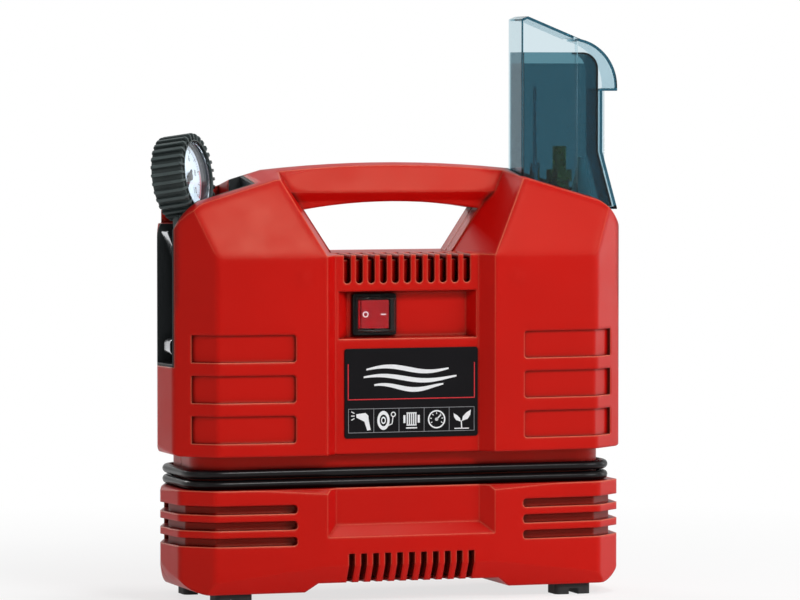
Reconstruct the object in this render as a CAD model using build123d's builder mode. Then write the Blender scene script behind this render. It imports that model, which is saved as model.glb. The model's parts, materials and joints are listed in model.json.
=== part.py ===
from build123d import *
from math import cos, hypot, pi, radians, sin, tan
import os

# Portable oil-free air compressor in a waisted two-half casing.
# X is to the right, the front faces -Y, Z is up; the halves meet at Y = 0 and the feet stand on Z = 0.

os.makedirs("parts", exist_ok=True)

# Casing: overall sizes
case_half_width = 172.0
front_depth = 59.5
rear_depth = 70.0
foot_height = 8.0
base_height = 74.0
groove_height = 24.0
body_height = 141.0
shoulder_rise = 61.0
handle_rise = 5.0
wall = 2.8

# Casing: levels
base_z = foot_height
deck_z = base_z + base_height
body_z = deck_z + groove_height
ledge_z = body_z + body_height
shoulder_z = ledge_z + shoulder_rise
handle_z = shoulder_z + handle_rise

# Casing: plan, as steps in from the widest line
side_step = 3.0
facet_step = 26.0
facet_back = 31.0
panel_back = 5.5
base_step = 2.0
base_corner_step = 4.0
base_facet_back = 35.0
rear_corner_step = 25.0
rear_corner_back = 8.0
rear_flat_step = 36.0
facet_round = 8.0
rear_round = 16.0

# Casing: front recess between the cheeks
cheek_inner = 63.0
recess_floor = 54.0
recess_depth = 10.5

# Casing: roof of the cheeks and fall of the shoulders
roof_back = 18.5
roof_rise = 55.5
crown_flat = 95.0
crown_fall = 16.0
crown_knee = 22.0
crown_corner = 37.0
crown_slope = 0.17
body_corner = 8.0

# Handle
handle_depth = 36.0
handle_height = 28.0
handle_bevel_rise = 21.0
handle_bevel_back = 8.0
handle_under_back = 5.0
handle_arch = 5.5
opening_half = 47.4
opening_flare = 0.666
trench_flare = 0.376

# Base details
base_bevel_rise = 19.0
base_bevel_back = 10.0
base_top_bevel = 3.5
base_corner = 24.0
deck_corner = 5.0
base_notch_half = 68.0
base_notch_rise = 6.5
base_notch_run = 9.0
base_recess_z = 47.5
base_recess_sill = 8.0
base_recess_depth = 9.0

# Neck that carries the cord
neck_half = case_half_width - 18.0
neck_front = front_depth - 18.5
neck_rear = rear_depth - 30.0
neck_corner = 22.0

# Recessed panels on the cheeks and grooves round the base
panel_rows = 3
panel_pitch = 28.7
panel_height = 19.4
panel_round = 2.0
panel_first_z = 9.4
panel_inner = 86.0
panel_depth = 2.4
groove_rows = 3
groove_pitch = 11.4
groove_size = 6.2
groove_round = 2.4
groove_first_z = 42.4
groove_inner = 85.0
groove_depth = 6.0
groove_wall = 2.0
panel_outer = 158.0
groove_rear = 25.0

# Plug niche over the groove at the rear
niche_x = 30.0
niche_width = 100.0
niche_height = 16.0
niche_front = neck_rear + 6.0
niche_corner = 10.0

# Vents
vent_count = 11
vent_pitch = 9.0
vent_width = 5.2
vent_drop = 19.5
vent_run = 30.0
vane_thick = 1.4
vane_run = 8.2
vane_turn = 47.0
vane_root = 0.8
low_vent_width = 4.4
low_vent_z = 35.5

# Bays in the shoulders
bay_front = front_depth - 28.5
gun_bay_inner = case_half_width - 64.0
gun_bay_z = ledge_z - 78.0
box_bay_inner = case_half_width - 80.5
box_bay_z = ledge_z - 85.0
liner_wall = 2.0
liner_back = 2.2

# Switch
switch_x = -22.4
switch_recess_left = -52.0
switch_recess_right = 52.5
switch_recess_low = 82.0
switch_recess_high = 116.0
switch_recess_depth = 10.0
switch_recess_left_slope = 10.0
switch_recess_right_slope = 5.0
switch_recess_draft = 1.0
bezel_width = 33.0
bezel_height = 30.0
bezel_thick = 3.0
switch_body_width = 27.0
switch_body_height = 25.0
switch_body_depth = 24.0

# Fasteners
screw_d = 4.0
screw_head_d = 7.6
screw_head_h = 2.8
boss_d = 9.0
screw_seat_y = 10.0
screw_bite = 16.0
screw_gap = 0.3
fit = 0.2

# Feet
foot_x = case_half_width - 44.0
foot_front_y = -front_depth + 23.5
foot_rear_y = rear_depth - 24.0
foot_width = 27.0
foot_length = 20.0
foot_notch = 7.0
foot_notch_rise = 4.0
foot_screw_d = 3.6
foot_places = [(side * foot_x, y) for side in (-1, 1) for y in (foot_front_y, foot_rear_y)]

# Cord, gland and plug
cord_d = 6.6
cord_gap = 0.3
cord_low_z = deck_z + cord_d / 2 + cord_gap
cord_pitch = 7.6
gland_r = 4.0
gland_x = 20.0
gland_length = 40.0
gland_root = 10.0
gland_root_x = gland_x + gland_length + gland_root / 2

# Air outlet at the rear
outlet_x = 80.0
outlet_r = 7.0

# Label plate
label_x = 2.9
label_rise = 43.0
label_width = 100.6
label_height = 64.0
label_corner = 2.0
label_thick = 0.8

# Foot fasteners
foot_corner = 4.0
foot_seat_z = 6.2
foot_head_r = 3.2
foot_screw_bite = 10.0

# Cord turns and plug
gland_tip_r = 3.6
gland_lock = 3.0
climb_start_x = 124.0
climb_end_x = 78.0
climb_radius = 60.0
tail_corner_y = neck_rear + 17.0
tail_radius = 34.0
tail_turn_x = 108.0
plug_gap = 0.4
plug_thick = 26.0
plug_height = 37.0
plug_corner = 12.5
plug_tail_x = 84.0
plug_tail = 26.0
plug_length = 38.0
plug_tail_r = 4.6
plug_collar_r = 8.0
plug_round = 3.0
pin_d = 4.8
pin_length = 19.0
pin_pitch = 19.0

# Switch pieces
bezel_corner = 2.0
rocker_width = 22.0
rocker_height = 20.5
rocker_gap = 0.7
rocker_pivot_y = 1.5
rocker_pin_r = 1.5
rocker_pin_gap = 0.06
rocker_lean = -9.0
rocker_rise = 5.0
rocker_dish = 1.6
rocker_drop = 6.0
cover_width = 29.0
cover_height = 27.0
cover_depth = 9.5
cover_wall = 0.9
cover_taper = 6.0
terminal_pitch = 12.0
terminal_thick = 0.8
terminal_width = 4.8
terminal_length = 8.0

# Storage box and what it holds
box_gap = 0.4
box_lift = 114.0
box_foot_x = case_half_width - 4.0
box_side_x = case_half_width - 15.5
box_flare_rise = 42.0
box_cap_rise = 86.0
box_knee_x = case_half_width - 32.0
box_knee_rise = 123.5
box_height = 140.0
box_wall = 1.8
box_rib_x = box_bay_inner + 44.5
box_rib = 1.6
tub_rise = 114.0
tub_back_rise = 106.0
tub_wall = 1.4
tub_round = 12.0
needle_x = box_bay_inner + 17.5
needle_height = 86.0
valve_x = box_bay_inner + 36.5
valve_height = 42.0
cone_x = box_bay_inner + 53.5
cone_height = 34.0

# Inflator gun
gun_y = -bay_front + 16.5
grip_left = -case_half_width + 26.0
grip_right = grip_left + 28.0
grip_thick = 22.0
grip_corner = 8.0
grip_z = gun_bay_z + 13.0
grip_rows = 8
grip_first = 8.0
grip_pitch = 7.0
grip_groove = 1.6
head_left = grip_left - 4.0
head_right = grip_right - 4.0
head_z = grip_z + 63.0
shelf_left = head_left - 10.0
shelf_z = head_z + 13.0
head_top = head_z + 22.0
head_thick = 21.0
tongue_left = head_left - 9.5
tongue_thick = 8.0
tongue_height = 12.0
chuck_z = head_z + 13.5
chuck_r = 7.0
chuck_bite = 8.0
chuck_length = 11.0
nipple_x = grip_left + 14.0
nipple_r = 4.0
nipple_bite = 8.0
nipple_drop = 10.4
lever_x = head_left - 5.5
lever_z = head_z + 7.0
lever_pin_r = 2.0
lever_pin_gap = 0.08
lever_width = 14.0
lever_thick = 1.6

# Pressure gauge
gauge_x = head_left - 3.6
gauge_y = gun_y + 10.2
gauge_z = head_top + 36.0
gauge_way = (0.77, -0.617, 0.14)
boot_length = 25.0
boot_r = 30.5
boot_ribs = 30
boot_groove = 3.0
boot_groove_width = 4.0
boot_back = 3.0
boot_lip = 2.2
boot_tooth = 1.4
boot_round = 2.4
boot_neck_r = 9.0
lip_r = 24.4
case_r = 26.0
dial_at = 14.0
dial_r = 24.0
dial_thick = 1.0
glass_at = 20.5
glass_thick = 2.0
needle_at = 16.4
needle_shaft_r = 1.0
needle_hub_r = 3.0
needle_reach = 18.0
needle_tail = 6.0
needle_zero = 45.0
stem_y = gun_y + 4.0
stem_r = 4.5
stem_bite = 6.0
stem_nut = 4.0
scoop_right = gauge_x + 35.6
scoop_rear = gauge_y + 31.3
scoop_z = head_top + 3.0

# Motor
motor_z = 50.0
stator_left = -75.0
stator_length = 50.0
stator_size = 60.0
stator_bore_r = 19.3
bolt_pitch = 48.0
bolt_r = 2.0
bolt_head = 2.6
coil_length = 6.0
coil_inner_r = 20.0
coil_outer_r = 28.0
rotor_r = 18.8
rotor_slots = 12
rotor_slot_depth = 6.0
rotor_slot_width = 3.0
shaft_r = 4.0
shaft_left = -108.0
shaft_right = 36.0
commutator_left = -95.0
commutator_length = 12.0
commutator_r = 10.0
fan_left = -17.0
fan_length = 14.0
fan_r = 28.0
fan_blades = 9
bracket_left = -106.0
bearing_r = 11.0
bearing_length = 7.0
brush_height = 7.0
brush_width = 6.0
brush_length = 14.0
press = 0.05
running = 0.08

# Pump
frame_left = 10.0
frame_right = 74.0
frame_plate = 7.0
frame_half = 32.0
frame_low = 20.0
frame_top = 126.0
frame_deck = 5.0
gear_left = 24.0
gear_width = 8.0
gear_module = 1.0
pinion_teeth = 12
gear_teeth = 60
gear_slack = 0.15
gear_tip = 0.75
gear_root = 1.1
gear_backlash = 0.45
gear_hole_at = 17.0
gear_hole_r = 6.0
crank_r = 11.0
crank_pin_r = 4.0
crank_shaft_r = 5.0
crank_bearing_r = 13.0
rod_gap = 6.0
rod_thick = 8.0
rod_width = 12.0
rod_eye_r = 9.0
rod_length = 64.0
bore_r = 22.0
piston_r = bore_r - 0.4
piston_thick = 3.0
seal_lip = 1.2
seal_thick = 1.2
cylinder_r = bore_r + 3.0
cylinder_height = 44.0
fin_r = cylinder_r + 5.0
fin_count = 7
fin_pitch = 6.5
fin_thick = 2.4
head_size = 2 * fin_r
head_height = 20.0
head_bolt_pitch = head_size - 12.0
head_bolt_r = 2.5
valve_thick = 4.0
pipe_r = 3.0
pipe_y = rear_depth - 26.0
pipe_bend = 10.0
outlet_z = frame_top + cylinder_height + valve_thick + 4.0
pipe_z = outlet_z
coupling_start = rear_depth - 16.0
coupling_end = rear_depth + 24.0
coupling_socket = 6.0
coupling_flange = 3.0
coupling_bore_r = 4.0
sleeve_start = rear_depth + 8.0
sleeve_length = 14.0
sleeve_r = 12.0


def write(node, name):
    node.part.label = name
    export_step(node.part, f"parts/{name}.step")


def right_outline(points):
    """Full outline from its right half, which runs from the front to the rear."""
    return points + [(-x, y) for x, y in reversed(points)]


def body_plan():
    half = case_half_width
    return right_outline(
        [
            (recess_floor, -front_depth + recess_depth),
            (cheek_inner, -front_depth),
            (half - side_step - facet_step, -front_depth + panel_back),
            (half - side_step, -facet_back),
            (half, 0),
            (half - rear_corner_step, rear_depth - rear_corner_back),
            (half - rear_flat_step, rear_depth),
        ]
    )


def base_plan():
    half = case_half_width - base_step
    return right_outline(
        [
            (cheek_inner, -front_depth),
            (half - side_step - facet_step + base_corner_step, -front_depth + panel_back),
            (half - base_corner_step, -base_facet_back),
            (half, 0),
            (half - rear_corner_step, rear_depth - rear_corner_back),
            (half - rear_flat_step, rear_depth),
        ]
    )


def round_plan(plan):
    """Rounds the upright corners of a casing outline, apart from those of its front recess."""
    outer = plan.vertices().filter_by(lambda corner: abs(corner.X) > cheek_inner + 1)
    fillet(outer.filter_by(lambda corner: corner.Y < rear_depth / 2), facet_round)
    outer = plan.vertices().filter_by(lambda corner: abs(corner.X) > cheek_inner + 1)
    fillet(outer.filter_by(lambda corner: corner.Y > rear_depth / 2), rear_round)


def crown_lines():
    """Outline of the shoulders in the XZ plane, as line objects of the current context."""
    half = case_half_width
    side = half - crown_knee
    knee = (side, shoulder_z - crown_fall)
    top = (crown_flat, shoulder_z)
    Polyline((-half, body_z - 60), (half, body_z - 60), (half, knee[1] - crown_corner))
    right = TangentArc((half, knee[1] - crown_corner), knee, tangent=(0, 1))
    Line(right @ 1, top)
    ThreePointArc(top, (0, handle_z), (-crown_flat, shoulder_z))
    Line((-crown_flat, shoulder_z), (-side, knee[1]))
    TangentArc((-half, knee[1] - crown_corner), (-side, knee[1]), tangent=(0, 1))
    Line((-half, knee[1] - crown_corner), (-half, body_z - 60))


def crown_block(inset):
    """Everything under the shoulders: their tops fall from the seam to the front and to the rear."""
    reach = rear_depth + 30
    with BuildPart() as shape:
        for way in (-1, 1):
            with BuildSketch(Plane.XZ):
                with BuildLine():
                    crown_lines()
                make_face()
                if inset:
                    offset(amount=-inset)
            extrude(amount=reach, dir=(0, way, -crown_slope))
    return shape.part


def trench_block(way, inset):
    """Space before or behind the handle, between the sloped cheek walls, down to the ledge."""
    near = handle_depth / 2 - handle_bevel_back - 2
    far = rear_depth + 20
    high = handle_z + 30 - ledge_z
    with BuildPart() as shape:
        for reach in (near, far):
            half = opening_half + trench_flare * (reach - handle_depth / 2)
            with BuildSketch(Plane.XZ.offset(-way * reach)):
                with BuildLine():
                    Polyline(
                        (-half + 10 * opening_flare, ledge_z - 10),
                        (half - 10 * opening_flare, ledge_z - 10),
                        (half + high * opening_flare, ledge_z + high),
                        (-half - high * opening_flare, ledge_z + high),
                        close=True,
                    )
                make_face()
                if inset:
                    offset(amount=inset, kind=Kind.INTERSECTION)
        loft(ruled=True)
        bar = handle_depth / 2
        under = handle_z - handle_height
        bevel_z = handle_z - handle_bevel_rise
        with BuildSketch(Plane.YZ):
            with BuildLine():
                Polyline(
                    (way * (far + 5), ledge_z),
                    (way * (bar - handle_under_back), ledge_z + 1.5),
                    (way * (bar - handle_under_back), under),
                    (way * bar, bevel_z),
                    (way * (bar - handle_bevel_back), handle_z + 2),
                    (way * (bar - handle_bevel_back), handle_z + 40),
                    (way * (far + 5), handle_z + 40),
                    close=True,
                )
            make_face()
            if inset:
                offset(amount=inset, kind=Kind.INTERSECTION)
        extrude(amount=2 * case_half_width, both=True, mode=Mode.INTERSECT)
    return shape.part


def tunnel_block(inset):
    """Hand opening under the handle."""
    bar = handle_depth / 2
    low = ledge_z + 1.4
    under = handle_z - handle_height
    low_half = opening_half - handle_under_back * trench_flare
    top_half = low_half + (under - handle_arch - low) * opening_flare
    with BuildPart() as shape:
        with BuildSketch(Plane.XZ):
            with BuildLine():
                Polyline(
                    (-top_half, under - handle_arch),
                    (-low_half, low),
                    (low_half, low),
                    (top_half, under - handle_arch),
                )
                ThreePointArc((top_half, under - handle_arch), (0, under), (-top_half, under - handle_arch))
            make_face()
            if inset:
                offset(amount=inset, kind=Kind.INTERSECTION)
        extrude(amount=bar, both=True)
    return shape.part


def roof_block(side, way, inset):
    """Wedge that leans the upper cheek back, along the cheek's own direction."""
    run = case_half_width - side_step - facet_step - cheek_inner
    back = panel_back if way < 0 else 0.0
    depth = front_depth if way < 0 else rear_depth
    length = hypot(run, back)
    along = Vector(side * run / length, -way * back / length, 0)
    inward = Vector(-side * back / length, -way * run / length, 0)
    normal = inward.cross(Vector(0, 0, 1))
    shift = inset * hypot(roof_back, roof_rise) / roof_rise
    height = 2.0 * roof_rise
    with BuildPart() as shape:
        with BuildSketch(Plane((side * cheek_inner, way * depth, ledge_z), x_dir=inward, z_dir=normal)):
            with BuildLine():
                Polyline(
                    (shift, 0),
                    (shift + height * roof_back / roof_rise, height),
                    (-40, height),
                    (-40, -height * 0.3),
                    (shift - height * 0.3 * roof_back / roof_rise, -height * 0.3),
                    close=True,
                )
            make_face()
        extrude(amount=2 * case_half_width, both=True)
    return shape.part


def body_block(inset):
    with BuildPart() as shape:
        with BuildSketch(Plane.XY.offset(body_z + inset)) as plan:
            with BuildLine():
                Polyline(body_plan(), close=True)
            make_face()
            round_plan(plan)
            if inset:
                offset(amount=-inset, kind=Kind.INTERSECTION)
        extrude(amount=handle_z + 20 - body_z)
        add(crown_block(inset), mode=Mode.INTERSECT)
        for way in (-1, 1):
            for side in (-1, 1):
                add(roof_block(side, way, inset), mode=Mode.SUBTRACT)
            add(trench_block(way, inset), mode=Mode.SUBTRACT)
        add(tunnel_block(inset), mode=Mode.SUBTRACT)
        with BuildSketch(Plane.XZ) as lower:
            with Locations((0, body_z + 200)):
                Rectangle(2 * case_half_width - 2 * inset, 400 - 2 * inset)
            fillet(lower.vertices().group_by(Axis.Y)[0], body_corner)
        extrude(amount=2 * rear_depth, both=True, mode=Mode.INTERSECT)
    return shape.part


def base_block(inset):
    front = -front_depth + inset
    rear = rear_depth - inset
    low = base_z + inset
    high = deck_z - inset
    with BuildPart() as shape:
        with BuildSketch(Plane.XY.offset(low)) as plan:
            with BuildLine():
                Polyline(base_plan(), close=True)
            make_face()
            round_plan(plan)
            if inset:
                offset(amount=-inset, kind=Kind.INTERSECTION)
        extrude(amount=high - low)
        with BuildSketch(Plane.XZ) as silhouette:
            with BuildLine():
                Polyline(
                    (-case_half_width + base_step, deck_z),
                    (-case_half_width + base_step, base_z),
                    (-base_notch_half - base_notch_run, base_z),
                    (-base_notch_half, base_z + base_notch_rise),
                    (base_notch_half, base_z + base_notch_rise),
                    (base_notch_half + base_notch_run, base_z),
                    (case_half_width - base_step, base_z),
                    (case_half_width - base_step, deck_z),
                    close=True,
                )
            make_face()
            for end in (0, -1):
                fillet(silhouette.vertices().group_by(Axis.X)[end].sort_by(Axis.Y)[0], base_corner)
                fillet(silhouette.vertices().group_by(Axis.X)[end].sort_by(Axis.Y)[-1], deck_corner)
            if inset:
                offset(amount=-inset, kind=Kind.INTERSECTION)
        extrude(amount=2 * rear_depth, both=True, mode=Mode.INTERSECT)
        with BuildSketch(Plane.YZ):
            with BuildLine():
                Polyline(
                    (front + base_bevel_back, low),
                    (rear - base_bevel_back, low),
                    (rear, low + base_bevel_rise),
                    (rear, high - base_top_bevel),
                    (rear - base_top_bevel, high),
                    (front + base_top_bevel, high),
                    (front, high - base_top_bevel),
                    (front, low + base_bevel_rise),
                    close=True,
                )
            make_face()
        extrude(amount=2 * case_half_width, both=True, mode=Mode.INTERSECT)
        sill = base_recess_z + base_recess_sill - inset
        floor_y = -front_depth + base_recess_depth + inset
        for half, low_z, y in (
            (cheek_inner + inset, base_recess_z - inset, -front_depth - 0.01),
            (recess_floor + inset, sill, floor_y),
        ):
            with BuildSketch(Plane.XZ.offset(-y)):
                with Locations((0, (low_z + deck_z + 30) / 2)):
                    Rectangle(2 * half, deck_z + 30 - low_z)
        loft(ruled=True, mode=Mode.SUBTRACT)
    return shape.part


def neck_block(inset):
    overlap = wall + 3 if inset else 1.0
    with BuildPart() as shape:
        with BuildSketch(Plane.XY.offset(deck_z - overlap)):
            with Locations((0, (neck_rear - neck_front) / 2)):
                RectangleRounded(
                    2 * (neck_half - inset), neck_front + neck_rear - 2 * inset, neck_corner - inset
                )
        extrude(amount=groove_height + 2 * overlap)
    return shape.part


def switch_recess(inset):
    """Sloped pocket in the front recess that holds the switch."""
    mouth_y = -front_depth + recess_depth
    floor_y = mouth_y + switch_recess_depth + inset
    low = body_z + switch_recess_low - inset
    high = body_z + switch_recess_high + inset
    left = switch_recess_left - inset
    right = switch_recess_right + inset
    with BuildPart() as shape:
        for left_slope, right_slope, draft, y in (
            (0.0, 0.0, 0.0, mouth_y - 0.01),
            (switch_recess_left_slope, switch_recess_right_slope, switch_recess_draft, floor_y),
        ):
            start = left + left_slope
            end = right - right_slope
            with BuildSketch(Plane.XZ.offset(-y)):
                with Locations(((start + end) / 2, (low + high) / 2)):
                    Rectangle(end - start, high - low - 2 * draft)
        loft(ruled=True)
    return shape.part


def plug_niche(inset):
    """Arched pocket over the rear of the groove, where the plug is parked."""
    with BuildPart() as shape:
        with BuildSketch(Plane.XZ.offset(-niche_front + inset)) as arch:
            with Locations((niche_x, body_z)):
                RectangleRounded(niche_width + 2 * inset, 2 * (niche_height + inset), niche_corner)
        extrude(amount=-2 * rear_depth)
    return shape.part


def gauge_scoop(inset):
    """Pocket in the left shoulder that makes room for the pressure gauge."""
    with BuildPart() as space:
        block(
            (-case_half_width - 60, scoop_right + inset),
            (-1, scoop_rear + inset),
            (scoop_z - inset, handle_z + 60),
        )
    return space.part


def row_boxes(count, first_z, pitch, height, inner_x, outer_x, rear_y, end_round=0.0):
    """One box a row on each side, to pick a stretch of the casing's skin; its inner end may be round."""
    with BuildPart() as rows:
        for side in (-1, 1):
            for row in range(count):
                with BuildSketch(Plane.XZ.offset(-rear_y)) as end:
                    with Locations((side * (inner_x + outer_x) / 2, first_z + row * pitch + height / 2)):
                        Rectangle(outer_x - inner_x, height)
                    if end_round:
                        fillet(end.vertices().sort_by(lambda corner: abs(corner.X))[:2], end_round)
                extrude(amount=4 * front_depth)
    return rows.part


def ring_x(start, end, y, z, outer_r, inner_r=0.0, mode=Mode.ADD):
    """Disc or ring about a line along X, in the part being built."""
    with BuildSketch(Plane.YZ.offset(start)) as disc:
        with Locations((y, z)):
            Circle(outer_r)
            if inner_r:
                Circle(inner_r, mode=Mode.SUBTRACT)
    extrude(disc.sketch, amount=end - start, mode=mode)


def ring_y(start, end, x, z, outer_r, inner_r=0.0, mode=Mode.ADD):
    """Disc or ring about a line along Y, in the part being built."""
    with BuildSketch(Plane.XZ.offset(-start)) as disc:
        with Locations((x, z)):
            Circle(outer_r)
            if inner_r:
                Circle(inner_r, mode=Mode.SUBTRACT)
    extrude(disc.sketch, amount=start - end, mode=mode)


def ring_z(start, end, x, y, outer_r, inner_r=0.0, mode=Mode.ADD):
    """Disc or ring about a line along Z, in the part being built."""
    with BuildSketch(Plane.XY.offset(start)) as disc:
        with Locations((x, y)):
            Circle(outer_r)
            if inner_r:
                Circle(inner_r, mode=Mode.SUBTRACT)
    extrude(disc.sketch, amount=end - start, mode=mode)


def block(x_span, y_span, z_span, mode=Mode.ADD):
    """Box between two X, two Y and two Z values, in the part being built."""
    centre = [(low + high) / 2 for low, high in (x_span, y_span, z_span)]
    with Locations(tuple(centre)):
        Box(x_span[1] - x_span[0], y_span[1] - y_span[0], z_span[1] - z_span[0], mode=mode)


def bay_box(side, inner_x, low_z):
    """Space that a bay and its liner take out of a shoulder."""
    far = case_half_width + 60
    x_span = (inner_x, far) if side > 0 else (-far, -inner_x)
    with BuildPart() as space:
        block(x_span, (-bay_front, liner_back), (low_z, handle_z + 60))
    return space.part


# Casing blocks: the outside, the hollow and what stiffens the wall behind cuts
with BuildPart() as outer:
    add(base_block(0))
    add(neck_block(0))
    add(body_block(0))
    add(switch_recess(0), mode=Mode.SUBTRACT)
    add(plug_niche(0), mode=Mode.SUBTRACT)
    add(gauge_scoop(0), mode=Mode.SUBTRACT)

with BuildPart() as inner:
    add(base_block(wall))
    add(neck_block(wall))
    add(body_block(wall))
    add(switch_recess(wall), mode=Mode.SUBTRACT)
    add(plug_niche(wall), mode=Mode.SUBTRACT)
    add(gauge_scoop(wall), mode=Mode.SUBTRACT)

with BuildPart() as panel_cuts:
    add(body_block(0))
    add(body_block(panel_depth), mode=Mode.SUBTRACT)
    add(
        row_boxes(
            panel_rows,
            body_z + panel_first_z,
            panel_pitch,
            panel_height,
            panel_inner,
            panel_outer,
            -facet_back - 4,
            panel_round,
        ),
        mode=Mode.INTERSECT,
    )

with BuildPart() as groove_cuts:
    add(base_block(0))
    add(base_block(groove_depth), mode=Mode.SUBTRACT)
    add(
        row_boxes(
            groove_rows,
            groove_first_z,
            groove_pitch,
            groove_size,
            groove_inner,
            case_half_width + 5,
            groove_rear,
            groove_round,
        ),
        mode=Mode.INTERSECT,
    )

panel_span = (panel_rows - 1) * panel_pitch + panel_height + 2 * wall
with BuildPart() as panel_backing:
    add(
        row_boxes(
            1,
            body_z + panel_first_z - wall,
            0,
            panel_span,
            panel_inner - wall,
            panel_outer + wall,
            -facet_back,
        )
    )
    add(body_block(0), mode=Mode.INTERSECT)
    add(body_block(panel_depth + groove_wall), mode=Mode.SUBTRACT)

groove_span = (groove_rows - 1) * groove_pitch + groove_size + 2 * groove_wall
with BuildPart() as groove_backing:
    add(
        row_boxes(
            1,
            groove_first_z - groove_wall,
            0,
            groove_span,
            groove_inner - groove_wall,
            case_half_width + groove_wall,
            groove_rear + groove_wall,
        )
    )
    add(base_block(0), mode=Mode.INTERSECT)
    add(base_block(groove_depth + groove_wall), mode=Mode.SUBTRACT)

screw_places = [
    (side * x, z)
    for x, z in (
        (case_half_width - 32.0, body_z + 35.0),
        (case_half_width - 26.0, base_z + 26.0),
        (80.0, ledge_z - 16.0),
    )
    for side in (-1, 1)
]
with BuildPart() as bosses:
    for x, z in screw_places:
        ring_y(-front_depth, rear_depth, x, z, boss_d / 2)
    add(outer.part, mode=Mode.INTERSECT)

recess_y = -front_depth + recess_depth
switch_z = body_z + (switch_recess_low + switch_recess_high) / 2
switch_y = recess_y + switch_recess_depth
vent_straight = vent_drop - vent_width / 2

# Slanted vanes behind the upper vents, which hide the inside
vane_slant = radians(vane_turn)
vane_x = -vent_width / 2 - vane_root + sin(vane_slant) * vane_run / 2
vane_y = recess_y + wall - vane_root + cos(vane_slant) * vane_run / 2
with BuildPart() as vanes:
    with BuildSketch(Plane.XY.offset(ledge_z - vent_drop)):
        with GridLocations(vent_pitch, 1, vent_count, 1):
            with Locations((vane_x, vane_y)):
                Rectangle(vane_thick, vane_run, rotation=-vane_turn)
    extrude(amount=vent_drop - wall)

with BuildPart() as casing:
    add(outer.part)
    add(inner.part, mode=Mode.SUBTRACT)
    add(panel_backing.part)
    add(groove_backing.part)
    add(bosses.part)
    add(panel_cuts.part, mode=Mode.SUBTRACT)
    add(groove_cuts.part, mode=Mode.SUBTRACT)
    add(bay_box(-1, gun_bay_inner, gun_bay_z), mode=Mode.SUBTRACT)
    add(bay_box(1, box_bay_inner, box_bay_z), mode=Mode.SUBTRACT)
    for x, z in screw_places:
        ring_y(screw_seat_y, rear_depth + 1, x, z, screw_head_d / 2 + screw_gap, mode=Mode.SUBTRACT)
        ring_y(-1, screw_seat_y, x, z, screw_d / 2 + screw_gap, mode=Mode.SUBTRACT)
        ring_y(-screw_bite - 2, 0, x, z, screw_d / 2 + press, mode=Mode.SUBTRACT)
    # Upper vents run down the front and back over the ledge
    with GridLocations(vent_pitch, 1, vent_count, 1):
        with Locations((0, recess_y, ledge_z - vent_straight / 2)):
            Box(vent_width, 2 * wall + 2, vent_straight, mode=Mode.SUBTRACT)
        with Locations((0, recess_y, ledge_z - vent_straight)):
            Cylinder(vent_width / 2, 2 * wall + 2, rotation=(90, 0, 0), mode=Mode.SUBTRACT)
        with Locations((0, recess_y + vent_run / 2 - 1, ledge_z)):
            Box(vent_width, vent_run + 2, 2 * wall + 3, mode=Mode.SUBTRACT)
    add(vanes.part)
    # Lower vents at the front and rear of the base
    for y in (-front_depth + base_bevel_back / 2, rear_depth - base_bevel_back / 2):
        with GridLocations(vent_pitch, 1, vent_count, 1):
            with Locations((0, y, low_vent_z / 2)):
                Box(low_vent_width, base_bevel_back + 8, low_vent_z, mode=Mode.SUBTRACT)
    # Openings for the switch, the cord gland, the air outlet and the foot screws
    block(
        (switch_x - switch_body_width / 2 - fit, switch_x + switch_body_width / 2 + fit),
        (switch_y - 1, switch_y + wall + 1),
        (switch_z - switch_body_height / 2 - fit, switch_z + switch_body_height / 2 + fit),
        mode=Mode.SUBTRACT,
    )
    block(
        (gland_root_x - gland_root / 2 - fit, gland_root_x + gland_root / 2 + fit),
        (neck_rear - wall - 1, neck_rear + 1),
        (deck_z + fit, cord_low_z + gland_r + fit),
        mode=Mode.SUBTRACT,
    )
    ring_y(rear_depth - wall - 1, rear_depth + 1, outlet_x, outlet_z, outlet_r + fit, mode=Mode.SUBTRACT)
    for x, y in foot_places:
        ring_z(base_z - 1, base_z + wall + 1, x, y, foot_screw_d / 2 + fit, mode=Mode.SUBTRACT)

with BuildPart() as front_shell:
    add(casing.part)
    block((-300, 300), (-200, 0), (-10, 500), mode=Mode.INTERSECT)
write(front_shell, "front_shell")

with BuildPart() as rear_shell:
    add(casing.part)
    block((-300, 300), (0, 200), (-10, 500), mode=Mode.INTERSECT)
write(rear_shell, "rear_shell")

for name, side, inner_x, low_z in (
    ("left_bay_liner", -1, gun_bay_inner, gun_bay_z),
    ("right_bay_liner", 1, box_bay_inner, box_bay_z),
):
    far = case_half_width + 80
    near = inner_x + liner_wall
    with BuildPart() as liner:
        add(outer.part)
        add(bay_box(side, inner_x, low_z), mode=Mode.INTERSECT)
        block(
            (near, far) if side > 0 else (-far, -near),
            (-bay_front + liner_wall, 0),
            (low_z + liner_wall, handle_z + 80),
            mode=Mode.SUBTRACT,
        )
    write(liner, name)

# Label plate in the front recess
with BuildPart() as label_plate:
    with BuildSketch(Plane.XZ.offset(-recess_y)):
        with Locations((label_x, body_z + label_rise)):
            RectangleRounded(label_width, label_height, label_corner)
    extrude(amount=label_thick)
write(label_plate, "label_plate")

# Feet and fasteners
with BuildPart() as rubber_feet:
    for x, y in foot_places:
        with BuildSketch():
            with Locations((x, y)):
                RectangleRounded(foot_width, foot_length, foot_corner)
        extrude(amount=foot_height)
        block(
            (x - foot_notch / 2, x + foot_notch / 2),
            (y - foot_length, y + foot_length),
            (-1, foot_notch_rise),
            mode=Mode.SUBTRACT,
        )
        ring_z(foot_notch_rise - 1, foot_seat_z, x, y, foot_head_r + fit, mode=Mode.SUBTRACT)
        ring_z(foot_seat_z, foot_height, x, y, foot_screw_d / 2 + fit, mode=Mode.SUBTRACT)
write(rubber_feet, "rubber_feet")

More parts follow.
